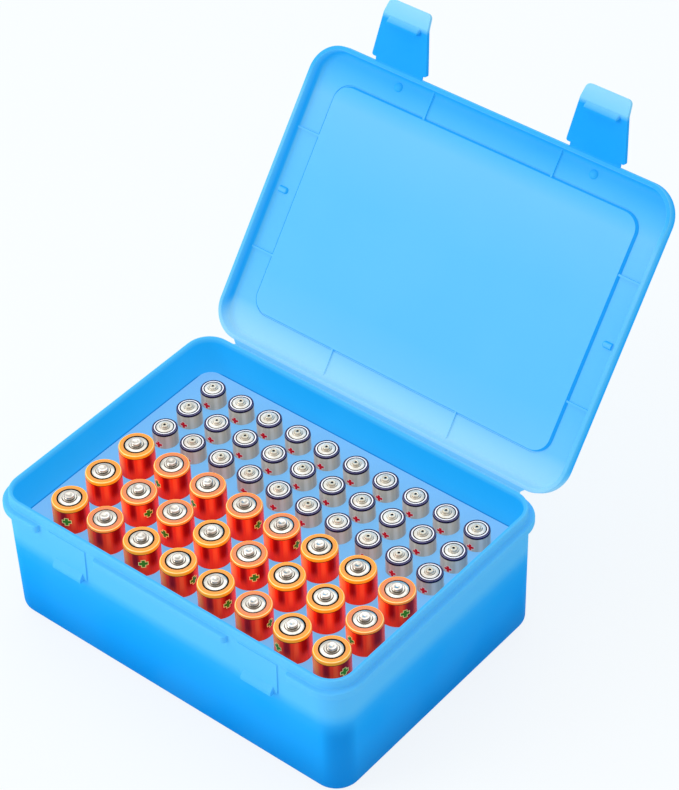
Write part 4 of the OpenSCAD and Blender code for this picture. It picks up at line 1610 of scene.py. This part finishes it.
class Finishes:
    """The finishes of the case's mouldings and of its cells."""

    def __init__(self) -> None:
        """Builds the shared node groups."""
        self.effects = Effects()

    def tub(self) -> Material:
        """Blue plastic with painted light above the rack, painted shade in the gap beside the rack, towards
        the foot and down one corner, and a painted glow inside.
        """
        return MouldedPlastic(
            "tub_blue",
            # Inside: painted shade in the gap beside the rack up to 42 mm, painted light above it
            tones=stops((0, 4, 126, 206), (41.8, 4, 126, 206), (42.4, 50, 178, 253), (50, 38, 174, 253),
                        (58, 30, 171, 252), (60.4, 76, 190, 254)),
            # Outside: painted shade towards the foot, painted light on the band above the rack
            outer_tones=stops((0, 4, 136, 218), (10, 8, 150, 234), (20, 14, 161, 247), (31, 24, 169, 252),
                              (36, 40, 174, 253), (42, 88, 194, 254), (60, 98, 197, 254)),
            # Painted shade down the front right corner
            walls=(83.6, 60.0), corner=PaintedLightStripe(50, 42, tint(3, 137, 222), 0.8),
            through=0.72, through_apart=0.12).material(self.effects)

    def lid(self) -> Material:
        """The same plastic, with painted light lightest beside the hinge, painted shade towards the far
        edge and on the skirt's inner faces, and a painted glow.
        """
        return MouldedPlastic(
            "lid_blue",
            # Painted light and shade by height: lightest beside the hinge, a painted sheen near 138 mm,
            # darker towards the far edge
            tones=stops((55, 160, 221, 254), (59.5, 150, 218, 254), (64.5, 130, 210, 254),
                        (67, 108, 201, 253), (80, 96, 197, 253), (112, 98, 197, 253), (138, 112, 201, 253),
                        (143, 88, 193, 252), (150, 54, 180, 252), (160, 54, 180, 252)),
            facing=(0.0, -0.791, 0.612),
            # Painted shade on the skirt's inner faces, with a lighter band at one end
            turned_tones=stops((-22.0, 40, 176, 253), (-20.6, 34, 171, 252), (-17.4, 84, 194, 254),
                               (-17.0, 110, 202, 254)),
            turned_from=(60.0, 68.0), through=0.4, through_apart=0.5).material(self.effects)

    def latch(self) -> Material:
        """The same plastic, with a painted highlight that makes the finger tab lightest."""
        return MouldedPlastic(
            "latch_blue",
            tones=stops((158, 26, 168, 252), (176.5, 30, 169, 252), (178.5, 128, 209, 252),
                        (183, 146, 216, 252))).material(self.effects)

    def rack(self) -> Material:
        """The rack's paler blue plastic, with a strong painted glow that lightens the shade between the
        cells.
        """
        return MouldedPlastic("rack_blue", stops((0, 131, 199, 255)), through=0.68).material(self.effects)

    def web(self) -> Material:
        """The thin plastic of the hinge webs, painted pale with a painted glow to lift the shade in the
        hinge's groove.
        """
        return MouldedPlastic("web_blue", stops((0, 120, 206, 253)), through=0.5).material(self.effects)

    def _cell(self, kind: str, sleeve: PrintedSleeve,
              plain: dict[CellFinish, tuple]) -> dict[CellFinish, Material]:
        """Builds the finishes of one kind of cell.

        Args:
            kind: How the finishes' names start.
            sleeve: Finish of the sleeve.
            plain: For each other band, its colour, its worn colour and the plain finish's next values.

        Returns:
            A finish for each band.
        """
        made = {CellFinish.SLEEVE: sleeve.material(self.effects)}
        for band, values in plain.items():
            made[band] = PlainFinish(f"{kind}_{band.name.lower()}", *values).material(self.effects)
        return made

    def large_cell(self, gold: bool) -> dict[CellFinish, Material]:
        """Red foil sleeve with painted reflections, a steel cap, and a gold or a salmon shoulder with a
        painted highlight.

        Args:
            gold: Whether the shoulder is gold.

        Returns:
            A finish for each band.
        """
        kind = "gold" if gold else "salmon"
        ring, side = tint(238, 136, 84), tint(248, 132, 44)
        if gold:
            ring, side = tint(247, 158, 62), tint(252, 154, 30)
        dark = tint(136, 6, 12)
        sleeve = PrintedSleeve(
            f"{kind}_sleeve", colour=tint(234, 50, 18), streak_colour=tint(224, 40, 16),
            # Painted reflections: dark bands and bright orange bands by the way each face looks
            light_stripes=(PaintedLightStripe(22, 15, dark, 1.0), PaintedLightStripe(80, 22, dark, 1.0),
                     PaintedLightStripe(50, 10, tint(255, 80, 34), 0.8), PaintedLightStripe(330, 36, tint(255, 120, 30), 0.9)),
            mark_colour=tint(60, 116, 20), mark_edge_colour=tint(250, 214, 120), girth=45.6, length=50.5,
            mark_drop=8.0, mark_arm=1.7, metallic=0.05, roughness=0.25, coat=0.05, painted_glow=0.36)
        return self._cell(kind, sleeve, {
            # Each row: colour, worn colour, metallic, roughness, then painted glow and specular where given
            CellFinish.CREASE: (tint(110, 20, 8), tint(84, 14, 6), 0.1, 0.35, 0.0, 0.1),
            CellFinish.SHOULDER: (side, side, 0.1, 0.22, 0.34, 0.25),
            # A pale painted highlight on the shoulder's round
            CellFinish.RIM: (tint(255, 220, 150), tint(255, 208, 130), 0.1, 0.22, 0.2),
            CellFinish.RING: (ring, ring, 0.15, 0.3),
            CellFinish.SEAL: (tint(20, 10, 8), tint(28, 16, 12), 0.0, 0.5, 0.0, 0.0),
            CellFinish.CAP: (tint(230, 224, 214), tint(196, 190, 180), 0.9, 0.22),
            # Painted shade on the steel's step walls
            CellFinish.EDGE: (tint(84, 70, 58), tint(110, 94, 80), 0.8, 0.3),
            CellFinish.CONTACT: (tint(232, 226, 218), tint(176, 166, 156), 0.9, 0.16)})

    def small_cell(self) -> dict[CellFinish, Material]:
        """Warm grey foil sleeve with painted reflections and shade, a navy shoulder, a white ring and a
        pale cap.
        """
        sleeve = PrintedSleeve(
            "small_sleeve", colour=tint(178, 168, 156), streak_colour=tint(166, 158, 146),
            # Painted reflections: a lighter band and darker bands by the way each face looks
            light_stripes=(PaintedLightStripe(52, 12, tint(196, 190, 182), 0.5), PaintedLightStripe(98, 18, tint(146, 134, 126), 0.6),
                     PaintedLightStripe(335, 24, tint(156, 138, 132), 0.6)),
            mark_colour=tint(190, 6, 20), mark_edge_colour=tint(206, 186, 178), girth=33.0, length=44.5,
            mark_drop=6.6, mark_arm=1.5, metallic=0.05, roughness=0.3, coat=0.04, painted_glow=0.34)
        return self._cell("small", sleeve, {
            # Each row: colour, worn colour, metallic, roughness, then painted glow and specular where given
            CellFinish.CREASE: (tint(10, 4, 12), tint(16, 8, 20), 0.1, 0.35, 0.0, 0.1),
            CellFinish.SHOULDER: (tint(40, 30, 80), tint(30, 22, 64), 0.1, 0.25, 0.0, 0.2),
            # A pale painted highlight on the shoulder's round
            CellFinish.RIM: (tint(124, 120, 156), tint(100, 96, 136), 0.1, 0.25),
            CellFinish.RING: (tint(255, 252, 254), tint(250, 246, 250), 0.0, 0.4, 0.14),
            CellFinish.SEAL: (tint(24, 14, 14), tint(34, 24, 20), 0.0, 0.5, 0.0, 0.0),
            CellFinish.CAP: (tint(250, 246, 236), tint(226, 218, 204), 0.2, 0.3),
            # Painted shade on the steel's step walls
            CellFinish.EDGE: (tint(190, 178, 156), tint(166, 154, 132), 0.4, 0.35),
            CellFinish.CONTACT: (tint(230, 222, 204), tint(204, 194, 172), 0.4, 0.28)})


# Numbers of the large cells with a gold and with a salmon shoulder, by row from the front, from 0
GOLD_CELLS = frozenset({0, 2, 3, 4, 6, 7, 8, 11, 13, 14, 16, 21, 22})
SALMON_CELLS = frozenset(range(24)) - GOLD_CELLS
# Where the mark on each large cell faces, and on the small ones in turn, in degrees from the front
LARGE_TURNS = (30.0, 220.0, 45.0, 92.0, 78.0, 96.0, -12.0, 78.0,
               215.0, 70.0, 4.0, 230.0, 55.0, 200.0, 225.0, -10.0,
               210.0, -14.0, -16.0, 86.0, 92.0, 230.0, 215.0, 62.0)
SMALL_TURNS = (9.0, 12.0, 7.0)


def on_open_lid(outline: Outline, lid_open: float) -> Matrix:
    """The matrix that carries a piece from the closed lid's frame to the open lid."""
    line = Matrix.Translation(Vector((0, outline.hinge_y, outline.hinge_z)) * MM)
    return line @ Matrix.Rotation(math.radians(-lid_open), 4, "X")


def on_latch(outline: Outline, lid: Matrix, side: int, turn_y: float, drop: float) -> Matrix:
    """The matrix that carries a piece from a latch's own frame to its place on the open lid."""
    line = Matrix.Translation(Vector((side * outline.latch_x, turn_y, 0)) * MM)
    return lid @ line @ Matrix.Rotation(math.radians(drop), 4, "X")


def main() -> None:
    """Builds every piece in order and reports it."""
    logging.basicConfig(level=logging.INFO, format="%(name)s: %(message)s")
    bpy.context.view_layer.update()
    bpy.context.scene.view_settings.view_transform = "Standard"
    finishes = Finishes()
    _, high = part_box("case_base")
    outline = Outline(half_w=high.x / MM)
    # How far the lid is open and a latch hangs down, in degrees, and the latches' line in the lid
    lid_open, latch_drop, latch_turn = 127.7, 24.0, -129.1
    lid_place = on_open_lid(outline, lid_open)
    made = [Tub(outline, finishes.tub()).build(), Lid(outline, finishes.lid(), lid_place).build()]
    latch_finish = finishes.latch()
    for side in (-1, 1):
        latch_place = on_latch(outline, lid_place, side, latch_turn, latch_drop)
        made.append(Latch(side, outline, latch_finish, latch_place).build())
    made += Webs(outline, finishes.web(), latch_finish, lid_place, lid_open, latch_drop, latch_turn).build()
    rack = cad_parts["battery_rack"]
    rack.data.materials.clear()
    rack.data.materials.append(finishes.rack())
    made.append(rack)
    for gold, numbers, drop, seal in ((True, GOLD_CELLS, 1.7, 0.7), (False, SALMON_CELLS, 1.25, 0.67)):
        made += CellKind(
            "aa_cell_", Slot.LARGE_CELL, finishes.large_cell(gold), contact_h=1.85, shoulder_drop=drop,
            ring_share=0.85, dimple_r=0.9, seal_share=seal, cap_share=0.61, turns=LARGE_TURNS,
            chosen=numbers).build()
    made += CellKind(
        "aaa_cell_", Slot.SMALL_CELL, finishes.small_cell(), contact_h=1.2, shoulder_drop=0.95,
        ring_share=0.83, dimple_r=0.55, seal_share=0.735, cap_share=0.65, turns=SMALL_TURNS,
        dimple=CellFinish.SEAL, shoulder_r=0.4, crease_h=0.35).build()
    Studio().build()
    for obj in made:
        LOG.info("%s: %d faces", obj.name, len(obj.data.polygons))


if __name__ == "__main__":
    main()
